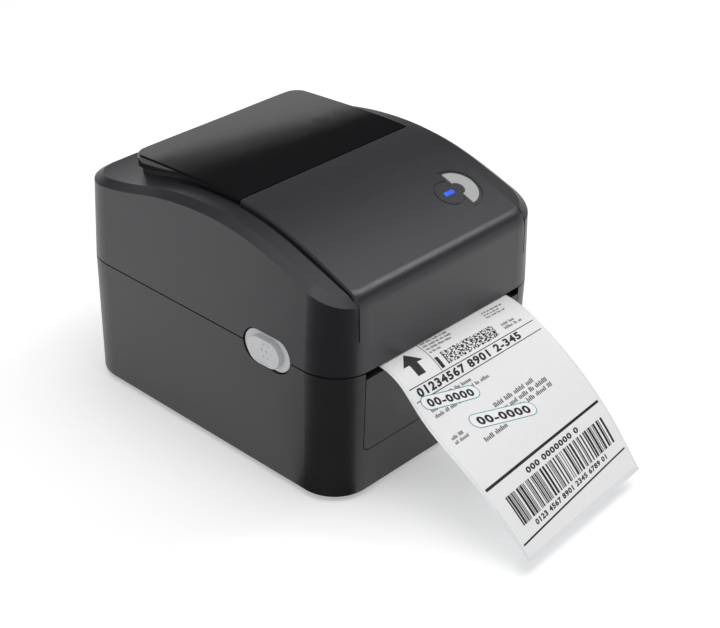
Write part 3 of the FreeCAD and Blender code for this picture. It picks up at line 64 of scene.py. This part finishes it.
FLOOR_HALF = 9.0
FLOOR_OUTLINE = [(-FLOOR_HALF, -FLOOR_HALF), (FLOOR_HALF, -FLOOR_HALF), (FLOOR_HALF, FLOOR_HALF),
                 (-FLOOR_HALF, FLOOR_HALF)]
FLOOR_GLOW = 0.34
FLAG_OUTLINE = [(-0.088, -0.070), (-0.60, 0.30), (-1.6, -0.9), (-0.9, -1.6), (-0.02, -0.40),
                (-0.066, -0.106)]
FLAG_HEIGHT = 0.5 * MM


# ---------------------------------------------------------------- camera, light and floor

def add_object(name, data):
    thing = bpy.data.objects.new(name, data)
    bpy.context.scene.collection.objects.link(thing)
    return thing


def make_camera():
    turn, rise, roll = (math.radians(angle) for angle in (CAMERA_TURN, CAMERA_RISE, CAMERA_ROLL))
    back = Vector((math.sin(turn) * math.cos(rise), -math.cos(turn) * math.cos(rise), math.sin(rise)))
    level = Vector((math.cos(turn), math.sin(turn), 0))
    upright = back.cross(level)
    right = math.cos(roll) * level + math.sin(roll) * upright
    up = math.cos(roll) * upright - math.sin(roll) * level
    data = bpy.data.cameras.new("camera")
    data.lens = CAMERA_LENS
    data.sensor_width = SENSOR_WIDTH
    data.clip_start = CLIP_START
    camera = add_object("camera", data)
    camera.matrix_world = Matrix.Translation(CAMERA_PLACE) @ Matrix((right, up, back)).transposed().to_4x4()
    bpy.context.scene.camera = camera


def softbox(name, place, aim, width, height, power):
    data = bpy.data.lights.new(name, "AREA")
    data.shape = "RECTANGLE"
    data.size = width
    data.size_y = height
    data.energy = power
    light = add_object(name, data)
    light.location = place
    light.rotation_euler = (Vector(aim) - Vector(place)).to_track_quat("-Z", "Y").to_euler()


def studio_world():
    """White low walls under a dim ceiling, so that level gloss shows a soft edge between the two."""
    world = bpy.data.worlds.new("studio")
    bpy.context.scene.world = world
    world.use_nodes = True
    nodes, links = world.node_tree.nodes, world.node_tree.links
    background = nodes["Background"]
    place = nodes.new("ShaderNodeTexCoord")
    split = nodes.new("ShaderNodeSeparateXYZ")
    ramp = nodes.new("ShaderNodeValToRGB")
    links.new(place.outputs["Generated"], split.inputs[0])
    links.new(split.outputs["Z"], ramp.inputs["Fac"])
    links.new(ramp.outputs["Color"], background.inputs["Color"])
    ramp.color_ramp.interpolation = "EASE"
    fill_ramp(ramp, [(height, (level, level, level * SKY_BLUE)) for height, level in SKY_LEVELS])
    background.inputs["Strength"].default_value = SKY_STRENGTH


def fill_ramp(ramp, stops):
    elements = ramp.color_ramp.elements
    while len(elements) < len(stops):
        elements.new(0.5)
    for element, (position, colour) in zip(elements, stops):
        element.position = position
        element.color = (*colour, 1)


def stage_card(name, outline, height, settings):
    """A level card that belongs to the studio, not to the part."""
    mesh = bpy.data.meshes.new(name)
    mesh.from_pydata([(x, y, height) for x, y in outline], [], [tuple(range(len(outline)))])
    card = add_object(name, mesh)
    material = bpy.data.materials.new(name)
    material.use_nodes = True
    shader = material.node_tree.nodes["Principled BSDF"]
    for socket, value in settings.items():
        shader.inputs[socket].default_value = value
    mesh.materials.append(material)
    return card


def make_floor():
    stage_card("floor", FLOOR_OUTLINE, 0,
               {"Base Color": (0.86, 0.86, 0.86, 1), "Roughness": 0.85,
                "Emission Color": (1, 1, 1, 1), "Emission Strength": FLOOR_GLOW})


def make_dark_flag():
    """A black card on the floor towards the camera, which only the gloss of the near corner sees."""
    card = stage_card("dark_flag", FLAG_OUTLINE, FLAG_HEIGHT,
                      {"Base Color": (0.002, 0.002, 0.002, 1), "Roughness": 1.0,
                       "Specular IOR Level": 0.0})
    card.visible_camera = False
    card.visible_diffuse = False
    card.visible_shadow = False
    card.visible_transmission = False


def make_studio():
    bpy.context.scene.view_settings.view_transform = "Standard"
    studio_world()
    make_floor()
    make_dark_flag()
    for settings in SOFTBOXES:
        softbox(*settings)


# ---------------------------------------------------------------- materials

class Recipe:
    """One material's node tree, built step by step around its Principled shader."""

    def __init__(self, name, colour, roughness, metallic=0.0, **settings):
        self.material = bpy.data.materials.new(name)
        self.material.use_nodes = True
        self.nodes = self.material.node_tree.nodes
        self.links = self.material.node_tree.links
        self.shader = self.nodes["Principled BSDF"]
        self.colour = colour
        self.shader.inputs["Base Color"].default_value = (*colour, 1)
        self.shader.inputs["Roughness"].default_value = roughness
        self.shader.inputs["Metallic"].default_value = metallic
        for socket, value in settings.items():
            self.shader.inputs[socket.replace("_", " ")].default_value = value
        self.height = None
        self.place = self.nodes.new("ShaderNodeTexCoord").outputs["Object"]

    def mapped(self, stretch):
        mapping = self.nodes.new("ShaderNodeMapping")
        mapping.inputs["Scale"].default_value = stretch
        self.links.new(self.place, mapping.inputs["Vector"])
        return mapping.outputs["Vector"]

    def noise(self, scale, detail=2.0, stretch=None):
        texture = self.nodes.new("ShaderNodeTexNoise")
        texture.inputs["Scale"].default_value = scale
        texture.inputs["Detail"].default_value = detail
        self.links.new(self.mapped(stretch) if stretch else self.place, texture.inputs["Vector"])
        return texture.outputs["Fac"]

    def ramp(self, source, stops):
        node = self.nodes.new("ShaderNodeValToRGB")
        fill_ramp(node, stops)
        self.links.new(source, node.inputs["Fac"])
        return node.outputs["Color"]

    def mottle(self, scale, spread, stretch=None, detail=3.0):
        """Colour that wanders by spread, as a share of itself, over noise of that scale."""
        dark = tuple(c * (1 - spread) for c in self.colour)
        light = tuple(min(1.0, c * (1 + spread)) for c in self.colour)
        colour = self.ramp(self.noise(scale, detail, stretch), [(0.32, dark), (0.68, light)])
        self.links.new(colour, self.shader.inputs["Base Color"])
        return self

    def uneven(self, scale, low, high, stretch=None):
        """Roughness that wanders between low and high."""
        node = self.nodes.new("ShaderNodeMapRange")
        node.inputs["From Min"].default_value = 0.3
        node.inputs["From Max"].default_value = 0.7
        node.inputs["To Min"].default_value = low
        node.inputs["To Max"].default_value = high
        self.links.new(self.noise(scale, 3.0, stretch), node.inputs["Value"])
        self.links.new(node.outputs["Result"], self.shader.inputs["Roughness"])
        return self

    def bump(self, source, distance, strength=1.0):
        node = self.nodes.new("ShaderNodeBump")
        node.inputs["Strength"].default_value = strength
        node.inputs["Distance"].default_value = distance
        self.links.new(source, node.inputs["Height"])
        if self.height:
            self.links.new(self.height, node.inputs["Normal"])
        self.height = node.outputs["Normal"]
        self.links.new(self.height, self.shader.inputs["Normal"])
        return self

    def grain(self, scale, distance, stretch=None, strength=1.0):
        return self.bump(self.noise(scale, 2.0, stretch), distance, strength)

    def waves(self, scale, distance, direction):
        texture = self.nodes.new("ShaderNodeTexWave")
        texture.bands_direction = direction
        texture.inputs["Scale"].default_value = scale
        texture.inputs["Distortion"].default_value = 0.6
        self.links.new(self.place, texture.inputs["Vector"])
        return self.bump(texture.outputs["Fac"], distance)


def moulding(name, colour, roughness=0.42, spread=0.06, grain=0.00003, **settings):
    """Injection-moulded plastic with a fine spark-eroded grain and faint flow shading."""
    recipe = Recipe(name, colour, roughness, **settings)
    recipe.mottle(scale=45.0, spread=spread)
    recipe.uneven(scale=900.0, low=roughness - 0.05, high=roughness + 0.06)
    recipe.grain(scale=2600.0, distance=grain, strength=0.6)
    return recipe.grain(scale=9.0, distance=0.0004, strength=0.15).material


def gloss(name, colour, roughness=0.06, **settings):
    """Polished plastic with faint rub marks."""
    recipe = Recipe(name, colour, roughness, **settings)
    recipe.mottle(scale=30.0, spread=0.08)
    recipe.uneven(scale=160.0, low=roughness, high=roughness + 0.035, stretch=(1, 6, 1))
    return recipe.grain(scale=7.0, distance=0.0003, strength=0.08).material


def brushed(name, colour, roughness, stretch=(1, 30, 30)):
    """Metal with fine marks, drawn out along the axis whose stretch is least."""
    recipe = Recipe(name, colour, roughness, metallic=1.0)
    recipe.mottle(scale=60.0, spread=0.10, stretch=stretch)
    recipe.uneven(scale=60.0, low=roughness - 0.08, high=roughness + 0.10, stretch=stretch)
    return recipe.grain(scale=240.0, distance=0.00001, stretch=stretch).material


def rubber(name, colour, scale=1400.0):
    recipe = Recipe(name, colour, 0.8)
    recipe.mottle(scale=220.0, spread=0.18)
    recipe.uneven(scale=500.0, low=0.68, high=0.9)
    return recipe.grain(scale=scale, distance=0.00005).material


def paper(name, colour, fibre=0.03, roughness=0.6, **settings):
    recipe = Recipe(name, colour, roughness, **settings)
    recipe.mottle(scale=420.0, spread=fibre, stretch=(1, 2.2, 1))
    recipe.uneven(scale=700.0, low=roughness - 0.06, high=roughness + 0.08)
    recipe.grain(scale=3200.0, distance=0.00001, stretch=(1, 2.5, 1), strength=0.5)
    return recipe.grain(scale=26.0, distance=0.0006, strength=0.10).material


def vector_step(recipe, operation, source, value=None):
    node = recipe.nodes.new("ShaderNodeVectorMath")
    node.operation = operation
    recipe.links.new(source, node.inputs[0])
    if value is not None:
        node.inputs[1].default_value = value
    return node


def wound_paper(name, colour):
    """Rings about the roll's own axis: its ends show the edges of the wound layers."""
    recipe = Recipe(name, colour, 0.7)
    low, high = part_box("label_roll")
    offset = vector_step(recipe, "SUBTRACT", recipe.place, (low + high) / 2)
    across = vector_step(recipe, "MULTIPLY", offset.outputs[0], (0, 1, 1))
    radius = vector_step(recipe, "LENGTH", across.outputs[0])
    rings = recipe.nodes.new("ShaderNodeTexNoise")
    rings.noise_dimensions = "1D"
    rings.inputs["Scale"].default_value = 2400.0
    recipe.links.new(radius.outputs["Value"], rings.inputs["W"])
    light = tuple(min(1, c * 1.05) for c in colour)
    dark = tuple(c * 0.72 for c in colour)
    shade = recipe.ramp(rings.outputs["Fac"], [(0.35, dark), (0.6, light)])
    recipe.links.new(shade, recipe.shader.inputs["Base Color"])
    recipe.bump(rings.outputs["Fac"], distance=0.00006)
    return recipe.grain(scale=900.0, distance=0.00002).material


def card(name, colour):
    recipe = Recipe(name, colour, 0.85)
    recipe.mottle(scale=260.0, spread=0.22, stretch=(1, 5, 5))
    recipe.uneven(scale=500.0, low=0.75, high=0.95)
    return recipe.waves(scale=60.0, distance=0.0001, direction="DIAGONAL").material


def circuit(name, colour):
    """Solder mask over a net of tracks."""
    recipe = Recipe(name, colour, 0.3)
    tracks = recipe.nodes.new("ShaderNodeTexBrick")
    tracks.inputs["Scale"].default_value = 130.0
    tracks.inputs["Mortar Size"].default_value = 0.03
    tracks.inputs["Color1"].default_value = (*colour, 1)
    tracks.inputs["Color2"].default_value = (*(c * 0.85 for c in colour), 1)
    tracks.inputs["Mortar"].default_value = (*(min(1, c * 2.0) for c in colour), 1)
    recipe.links.new(recipe.mapped((1, 1, 1)), tracks.inputs["Vector"])
    recipe.links.new(tracks.outputs["Color"], recipe.shader.inputs["Base Color"])
    recipe.bump(tracks.outputs["Fac"], distance=0.00003)
    return recipe.uneven(scale=300.0, low=0.22, high=0.4).material


def ribbon(name, colour):
    """Flat cable: parallel conductors under a satin jacket."""
    recipe = Recipe(name, colour, 0.4)
    recipe.mottle(scale=80.0, spread=0.06)
    recipe.uneven(scale=200.0, low=0.32, high=0.48)
    return recipe.waves(scale=320.0, distance=0.0003, direction="X").material


def glow(name, colour, strength):
    """Back-lit translucent plastic whose grain varies the glow."""
    recipe = Recipe(name, colour, 0.25)
    recipe.mottle(scale=260.0, spread=0.12)
    recipe.shader.inputs["Emission Strength"].default_value = strength
    bright = tuple(min(1, c * 1.6 + 0.03) for c in colour)
    shade = recipe.ramp(recipe.noise(300.0), [(0.3, colour), (0.7, bright)])
    recipe.links.new(shade, recipe.shader.inputs["Emission Color"])
    return recipe.grain(scale=1500.0, distance=0.00002).material


SATIN = 0.62


def make_materials():
    return {
        "housing": moulding("housing_plastic", (0.0150, 0.0156, 0.0190), 0.36, Specular_IOR_Level=SATIN),
        "base": moulding("base_plastic", (0.0160, 0.0145, 0.0155), 0.38, Specular_IOR_Level=SATIN),
        "plate": gloss("smoked_plate", (0.004, 0.004, 0.005), 0.045),
        "release": moulding("release_plastic", (0.53, 0.54, 0.55), 0.40, 0.03),
        "feed": moulding("feed_plastic", (0.42, 0.43, 0.42), 0.38, 0.03),
        "light": glow("status_light", (0.012, 0.055, 0.52), 1.1),
        "bay": moulding("bay_plastic", (0.028, 0.029, 0.032), 0.55),
        "guide": moulding("guide_plastic", (0.12, 0.125, 0.13), 0.45),
        "switch": gloss("switch_plastic", (0.018, 0.018, 0.020), 0.18),
        "foot": rubber("foot_rubber", (0.022, 0.022, 0.022)),
        "platen": rubber("platen_rubber", (0.045, 0.045, 0.046), 2600.0),
        "sheet": brushed("sheet_steel", (0.56, 0.57, 0.58), 0.36),
        "blade": brushed("blade_steel", (0.66, 0.67, 0.68), 0.24, (30, 1, 30)),
        "turned": brushed("turned_steel", (0.55, 0.55, 0.56), 0.22, (60, 1, 1)),
        "spring": brushed("spring_steel", (0.42, 0.42, 0.44), 0.30, (20, 20, 1)),
        "screw": brushed("screw_steel", (0.16, 0.16, 0.17), 0.38, (8, 8, 8)),
        "brass": brushed("turned_brass", (0.74, 0.57, 0.27), 0.26, (1, 1, 40)),
        "can": brushed("motor_can", (0.42, 0.43, 0.44), 0.42, (40, 1, 1)),
        "nylon": moulding("gear_nylon", (0.74, 0.73, 0.67), 0.45, 0.04, Subsurface_Weight=0.15),
        "acetal": moulding("hook_acetal", (0.26, 0.27, 0.28), 0.35, 0.04),
        "board": circuit("circuit_board", (0.02, 0.13, 0.06)),
        "epoxy": moulding("component_epoxy", (0.022, 0.022, 0.024), 0.5, 0.15),
        "ribbon": ribbon("flat_ribbon", (0.56, 0.57, 0.59)),
        "ceramic": gloss("head_ceramic", (0.46, 0.38, 0.28), 0.2),
        "aluminium": brushed("head_aluminium", (0.62, 0.63, 0.64), 0.34, (1, 30, 1)),
        "label": paper("label_paper", (0.86, 0.86, 0.865), 0.015, 0.5),
        "liner": paper("liner_paper", (0.80, 0.815, 0.83), 0.03, 0.35),
        "roll": wound_paper("roll_paper", (0.84, 0.84, 0.83)),
        "card": card("core_card", (0.42, 0.30, 0.19)),
        "ink": paper("thermal_ink", (0.004, 0.004, 0.0045), 0.25, 0.6),
        "tag": paper("tag_face", (0.90, 0.91, 0.91), 0.01, 0.5),
        "tag_rim": paper("tag_rim", (0.07, 0.32, 0.38), 0.05, 0.5),
    }


NODE_FINISH = {
    "housing": ["upper_cover"],
    "base": ["lower_housing", "front_panel", "rear_panel", "bottom_cover"],
    "plate": ["view_window"],
    "release": ["latch_button_left", "latch_button_right"],
    "feed": ["feed_button"],
    "light": ["light_pipe"],
    "bay": ["media_tray", "gap_sensor", "switch_housing", "power_inlet"],
    "guide": ["media_guide_left", "media_guide_right"],
    "switch": ["power_rocker"],
    "foot": ["rubber_feet"],
    "platen": ["platen_roller"],
    "sheet": ["platen_frame", "head_bracket", "catch_plate_left", "catch_plate_right"],
    "blade": ["tear_bar", "usb_port"],
    "turned": ["platen_shaft", "motor_shaft", "idler_axle", "latch_pins", "hinge_pins", "pinion_pin"],
    "spring": ["head_springs", "latch_spring_left", "latch_spring_right"],
    "screw": ["bottom_screws", "tray_screws", "frame_screws", "board_screws", "head_screws",
              "motor_screws"],
    "brass": ["frame_spacers", "motor_pinion"],
    "can": ["stepper_motor"],
    "nylon": ["platen_gear", "idler_gear", "guide_pinion", "platen_bushes"],
    "acetal": ["latch_hook_left", "latch_hook_right"],
    "board": ["main_board", "button_board"],
    "epoxy": ["board_components"],
    "ribbon": ["head_cable"],
    "ceramic": ["print_head"],
    "aluminium": ["head_heatsink"],
    "label": ["printed_label"],
    "liner": ["label_web"],
    "roll": ["label_roll"],
    "card": ["roll_core"],
}


def finish_nodes(materials):
    for finish, names in NODE_FINISH.items():
        for name in names:
            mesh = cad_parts[name].data
            mesh.materials.clear()
            mesh.materials.append(materials[finish])


# ---------------------------------------------------------------- print on the label

PAGE_LENGTH = 130.0 * MM
PAGE_TOP_Y = -100.0 * MM
EDGE_INSET = 0.2 * MM
SHEET_STEPS = 300
RAY_HEIGHT = 0.2

# The print leans against the sheet's own square by this much at the exit, and less with each metre below it
PRINT_SKEW = 6.1 * MM
PRINT_SKEW_FALL = 0.101
PRINT_WIDTH = 99.2 * MM

# How far each layer of ink stands above the paper, and sinks into it
INK_RISE = 0.06 * MM
TAG_RIM_RISE = 0.09 * MM
TAG_RISE = 0.13 * MM
TAG_INK_RISE = 0.17 * MM
INK_SINK = 0.04 * MM

# Everything below is in millimetres of the page: across from its middle, and down from the exit
CELL = 3.0
BOLD = 0.055
CAP_HEIGHT = 0.73
LETTER_SPACE = 1.15
RUNS = (1, 1, 2, 3)
BAR_MODULE = 0.50
MATRIX_COLUMNS = 52
MATRIX_ROWS = 15
MATRIX_FILL = 0.96
TICK_PITCH = 0.42
TICK_WIDTH = 0.55
TICK_GAP = 1.3
TALL_SHARE = 0.4
LOW_TICK = 0.3

# Rules and solid bars: from, to, top and bottom
SOLID_BARS = [(-23.9, -23.5, 5.0, 25.2), (-22.6, -20.2, 17.0, 24.2), (-49.6, 49.6, 25.6, 26.1),
              (-49.6, 49.6, 33.0, 33.5), (-49.4, 49.6, 88.0, 89.6), (-49.4, 49.6, 120.6, 121.5)]

# Small print: each line's start, each line's length, then the first line's top, the pitch, height and seed
SMALL_PRINT = [((-22, -22, -22, -22), (21, 17, 19, 9), 5.0, 2.4, 1.4, 11),
               ((26.5, 26.5, 26.5), (16, 12, 14), 5.0, 2.1, 1.2, 31),
               ((30, 30), (11, 13), 17.6, 2.8, 2.0, 41),
               ((-44.5, -44.5, -44.5), (28, 40, 18), 35.6, 3.6, 2.2, 51),
               ((-10, -22, -10, -29), (26, 44, 40, 18), 54.6, 4.0, 2.8, 61),
               ((-45, -45), (6, 6), 56.8, 2.8, 2.0, 71)]

# Numerals: what they are, their start, foot line, height and reach
NUMERALS = [("01234567 8901 2-345", -46.0, 31.6, 4.7, 81.0),
            ("000 0000000 0", -20.0, 95.4, 3.2, 46.0),
            ("0123 4567 8901 2345 6789 01", -34.0, 118.3, 2.8, 68.0)]

ARROW = (-36.0, 14.4, 14.5, 14.6)
ARROW_STEM = 0.2
ARROW_NECK = 0.5
MATRIX = (-17.0, 24.0, 15.6, 23.8)
MATRIX_SEED = 5
BARCODE = (-42.0, 45.8, 97.4, 114.0)
BARCODE_SEED = 7

# Tags laid over the print: middle across and down, length, height and how far their line rises
TAGS = [(-29.5, 39.6, 36.0, 8.4, -0.26), (-9.0, 63.0, 40.5, 9.2, -0.33)]
TAG_RIM = 0.45
TAG_TEXT = "00-0000"
TAG_TEXT_HEIGHT = 0.52
TAG_TEXT_REACH = 0.80
TAG_ARC_STEPS = 14


class LabelSheet:
    """Places on the label's upper face, by distance across from its middle and down from the exit."""

    def __init__(self):
        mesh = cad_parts["printed_label"].data
        vertices = [v.co.copy() for v in mesh.vertices]
        self.tree = BVHTree.FromPolygons(vertices, [tuple(p.vertices) for p in mesh.polygons])
        low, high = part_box("printed_label")
        self.half = (high.x - low.x) / 2
        self.lines = [self.edge_line(side * (self.half - EDGE_INSET), low.y) for side in (-1, 1)]

    def drop(self, x, y):
        """The point, the normal and more, straight below (x, y) on the sheet."""
        return self.tree.ray_cast(Vector((x, y, RAY_HEIGHT)), Vector((0, 0, -1)))

    def edge_line(self, x, end):
        """Pairs along one edge: the distance along the sheet from the exit, and y."""
        line = []
        travelled = 0.0
        before = None
        for i in range(SHEET_STEPS + 1):
            y = PAGE_TOP_Y + (end - PAGE_TOP_Y) * i / SHEET_STEPS
            point = self.drop(x, y)[0]
            if point is None:
                break
            if before is not None:
                travelled += (point - before).length
            line.append((travelled, y))
            before = point
        return line

    def depth(self, line, share):
        """The y that lies at this share of the edge's length."""
        target = share * line[-1][0]
        for (d0, y0), (d1, y1) in zip(line, line[1:]):
            if d1 >= target:
                return y0 + (y1 - y0) * (target - d0) / max(d1 - d0, 1e-9)
        return line[-1][1]

    def place(self, across, down, rise):
        slip = (PRINT_SKEW - PRINT_SKEW_FALL * down) * across / PRINT_WIDTH
        share = min(max((down + slip) / PAGE_LENGTH, 0.0), 0.999)
        weight = (across + self.half) / (2 * self.half)
        left, right = (self.depth(line, share) for line in self.lines)
        point, normal, _, _ = self.drop(across, left * (1 - weight) + right * weight)
        return point + normal * rise


def print_shape(mesh, sheet, corners, faces, rise=INK_RISE):
    """Adds a closed thin solid: the flat shape laid on the sheet, sunk a little into it."""
    top = [mesh.verts.new(sheet.place(a, d, rise)) for a, d in corners]
    under = [mesh.verts.new(sheet.place(a, d, -INK_SINK)) for a, d in corners]
    for face in faces:
        mesh.faces.new([top[i] for i in face])
        mesh.faces.new([under[i] for i in reversed(face)])
    edges = dict.fromkeys((i, j) for face in faces for i, j in zip(face, face[1:] + face[:1]))
    for i, j in edges:
        if (j, i) not in edges:
            mesh.faces.new([top[j], top[i], under[i], under[j]])


def print_flat(mesh, sheet, flat, rise):
    """Cuts a flat shape, drawn in millimetres of the page, into cells and lays them on the sheet."""
    for axis in (0, 1):
        values = [v.co[axis] for v in flat.verts]
        line = math.ceil(min(values) / CELL) * CELL
        while line < max(values):
            place, normal = Vector((0, 0, 0)), Vector((0, 0, 0))
            place[axis] = line
            normal[axis] = 1
            geometry = flat.verts[:] + flat.edges[:] + flat.faces[:]
            bmesh.ops.bisect_plane(flat, geom=geometry, plane_co=place, plane_no=normal)
            line += CELL
    flat.verts.index_update()
    corners = [(v.co.x * MM, v.co.y * MM) for v in flat.verts]
    print_shape(mesh, sheet, corners, [[v.index for v in f.verts] for f in flat.faces], rise)
    flat.free()


def print_outline(mesh, sheet, points, rise=INK_RISE):
    flat = bmesh.new()
    flat.faces.new([flat.verts.new((a, d, 0)) for a, d in points])
    print_flat(mesh, sheet, flat, rise)


def print_block(mesh, sheet, a0, a1, d0, d1):
    print_outline(mesh, sheet, [(a0, d0), (a0, d1), (a1, d1), (a1, d0)])


def print_bars(mesh, sheet, a0, a1, d0, d1, seed):
    """Upright bars and gaps of one to three modules, as a linear barcode has."""
    draw = random.Random(seed)
    place = a0
    while place < a1 - 2 * BAR_MODULE:
        bar = BAR_MODULE * draw.choice(RUNS)
        print_block(mesh, sheet, place, min(place + bar, a1), d0, d1)
        place += bar + BAR_MODULE * draw.choice(RUNS)


def print_matrix(mesh, sheet, a0, a1, d0, d1, seed):
    """Filled cells in short runs, as a stacked two-dimensional code has."""
    draw = random.Random(seed)
    width, height = (a1 - a0) / MATRIX_COLUMNS, (d1 - d0) / MATRIX_ROWS
    for row in range(MATRIX_ROWS):
        top, bottom = d0 + row * height, d0 + (row + MATRIX_FILL) * height
        column = 0
        while column < MATRIX_COLUMNS:
            run = min(draw.choice(RUNS), MATRIX_COLUMNS - column)
            left = a0 + column * width
            print_block(mesh, sheet, left, left + run * width, top, bottom)
            column += run + draw.choice(RUNS)


def print_ticks(mesh, sheet, a0, d0, length, height, seed):
    """A line of small print, as ticks in word-long groups that spell nothing."""
    draw = random.Random(seed)
    pitch = height * TICK_PITCH
    place = a0
    while place < a0 + length:
        for _ in range(draw.randint(3, 8)):
            top = d0 if draw.random() < TALL_SHARE else d0 + height * LOW_TICK
            print_block(mesh, sheet, place, place + pitch * TICK_WIDTH, top, d0 + height)
            place += pitch
        place += pitch * TICK_GAP


def numeral_shape(digits, height):
    """Plain bold numerals as a flat mesh that stands on y = 0."""
    data = bpy.data.curves.new("numerals", "FONT")
    data.body = digits
    data.size = height / CAP_HEIGHT
    data.space_character = LETTER_SPACE
    data.offset = BOLD * height
    data.resolution_u = 3
    holder = bpy.data.objects.new("numerals", data)
    printed = bpy.data.meshes.new_from_object(holder)
    flat = bmesh.new()
    flat.from_mesh(printed)
    bpy.data.objects.remove(holder)
    bpy.data.curves.remove(data)
    bpy.data.meshes.remove(printed)
    return flat


def print_digits(mesh, sheet, digits, a0, d1, height, reach, slope=0.0, rise=INK_RISE):
    """Numerals standing on the line d1, spread from a0 over that reach."""
    flat = numeral_shape(digits, height)
    left = min(v.co.x for v in flat.verts)
    stretch = reach / (max(v.co.x for v in flat.verts) - left)
    for v in flat.verts:
        across = (v.co.x - left) * stretch
        v.co = (a0 + across, d1 - v.co.y - slope * across, 0)
    print_flat(mesh, sheet, flat, rise)


def pill_outline(a, d, length, height, slope, grow=0.0):
    """A round-ended bar whose line rises by slope for each unit to the right."""
    radius = height / 2 + grow
    reach = (length - height) / 2
    points = []
    for side in (1, -1):
        for i in range(TAG_ARC_STEPS + 1):
            angle = math.pi * i / TAG_ARC_STEPS - math.pi / 2
            x = side * (reach + radius * math.cos(angle))
            y = side * radius * math.sin(angle)
            points.append((a + x, d + y - slope * x))
    return points


def arrow_outline(a, d, width, height):
    """A plain upward arrow, its point towards the exit."""
    half, stem = width / 2, width * ARROW_STEM
    top, foot = d - height / 2, d + height / 2
    neck = top + height * ARROW_NECK
    return [(a, top), (a + half, neck), (a + stem, neck), (a + stem, foot), (a - stem, foot),
            (a - stem, neck), (a - half, neck)]


def finished_piece(name, mesh, material):
    bmesh.ops.recalc_face_normals(mesh, faces=mesh.faces)
    data = bpy.data.meshes.new(name)
    mesh.to_mesh(data)
    mesh.free()
    data.materials.append(material)
    piece = add_object(name, data)
    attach(piece, "base")


def print_label_face(mesh, sheet):
    print_outline(mesh, sheet, arrow_outline(*ARROW))
    for bar in SOLID_BARS:
        print_block(mesh, sheet, *bar)
    for starts, lengths, first, pitch, height, seed in SMALL_PRINT:
        for row, (start, length) in enumerate(zip(starts, lengths)):
            print_ticks(mesh, sheet, start, first + pitch * row, length, height, seed + row)
    for numerals in NUMERALS:
        print_digits(mesh, sheet, *numerals)
    print_matrix(mesh, sheet, *MATRIX, MATRIX_SEED)
    print_bars(mesh, sheet, *BARCODE, BARCODE_SEED)


def print_tag_text(mesh, sheet, a, d, length, height, slope):
    size, reach = height * TAG_TEXT_HEIGHT, length * TAG_TEXT_REACH
    place = (a - reach / 2, d + size / 2 + slope * reach / 2)
    print_digits(mesh, sheet, TAG_TEXT, *place, size, reach, slope, TAG_INK_RISE)


def make_label_print(materials):
    sheet = LabelSheet()
    face, rims, tags, numbers = (bmesh.new() for _ in range(4))
    print_label_face(face, sheet)
    for tag in TAGS:
        print_outline(rims, sheet, pill_outline(*tag), TAG_RIM_RISE)
        print_outline(tags, sheet, pill_outline(*tag, -TAG_RIM), TAG_RISE)
        print_tag_text(numbers, sheet, *tag)
    finished_piece("label_print", face, materials["ink"])
    finished_piece("label_tag_rims", rims, materials["tag_rim"])
    finished_piece("label_tag_faces", tags, materials["tag"])
    finished_piece("label_tag_numbers", numbers, materials["ink"])


# ---------------------------------------------------------------- scene

make_camera()
make_studio()
FINISHES = make_materials()
finish_nodes(FINISHES)
make_label_print(FINISHES)
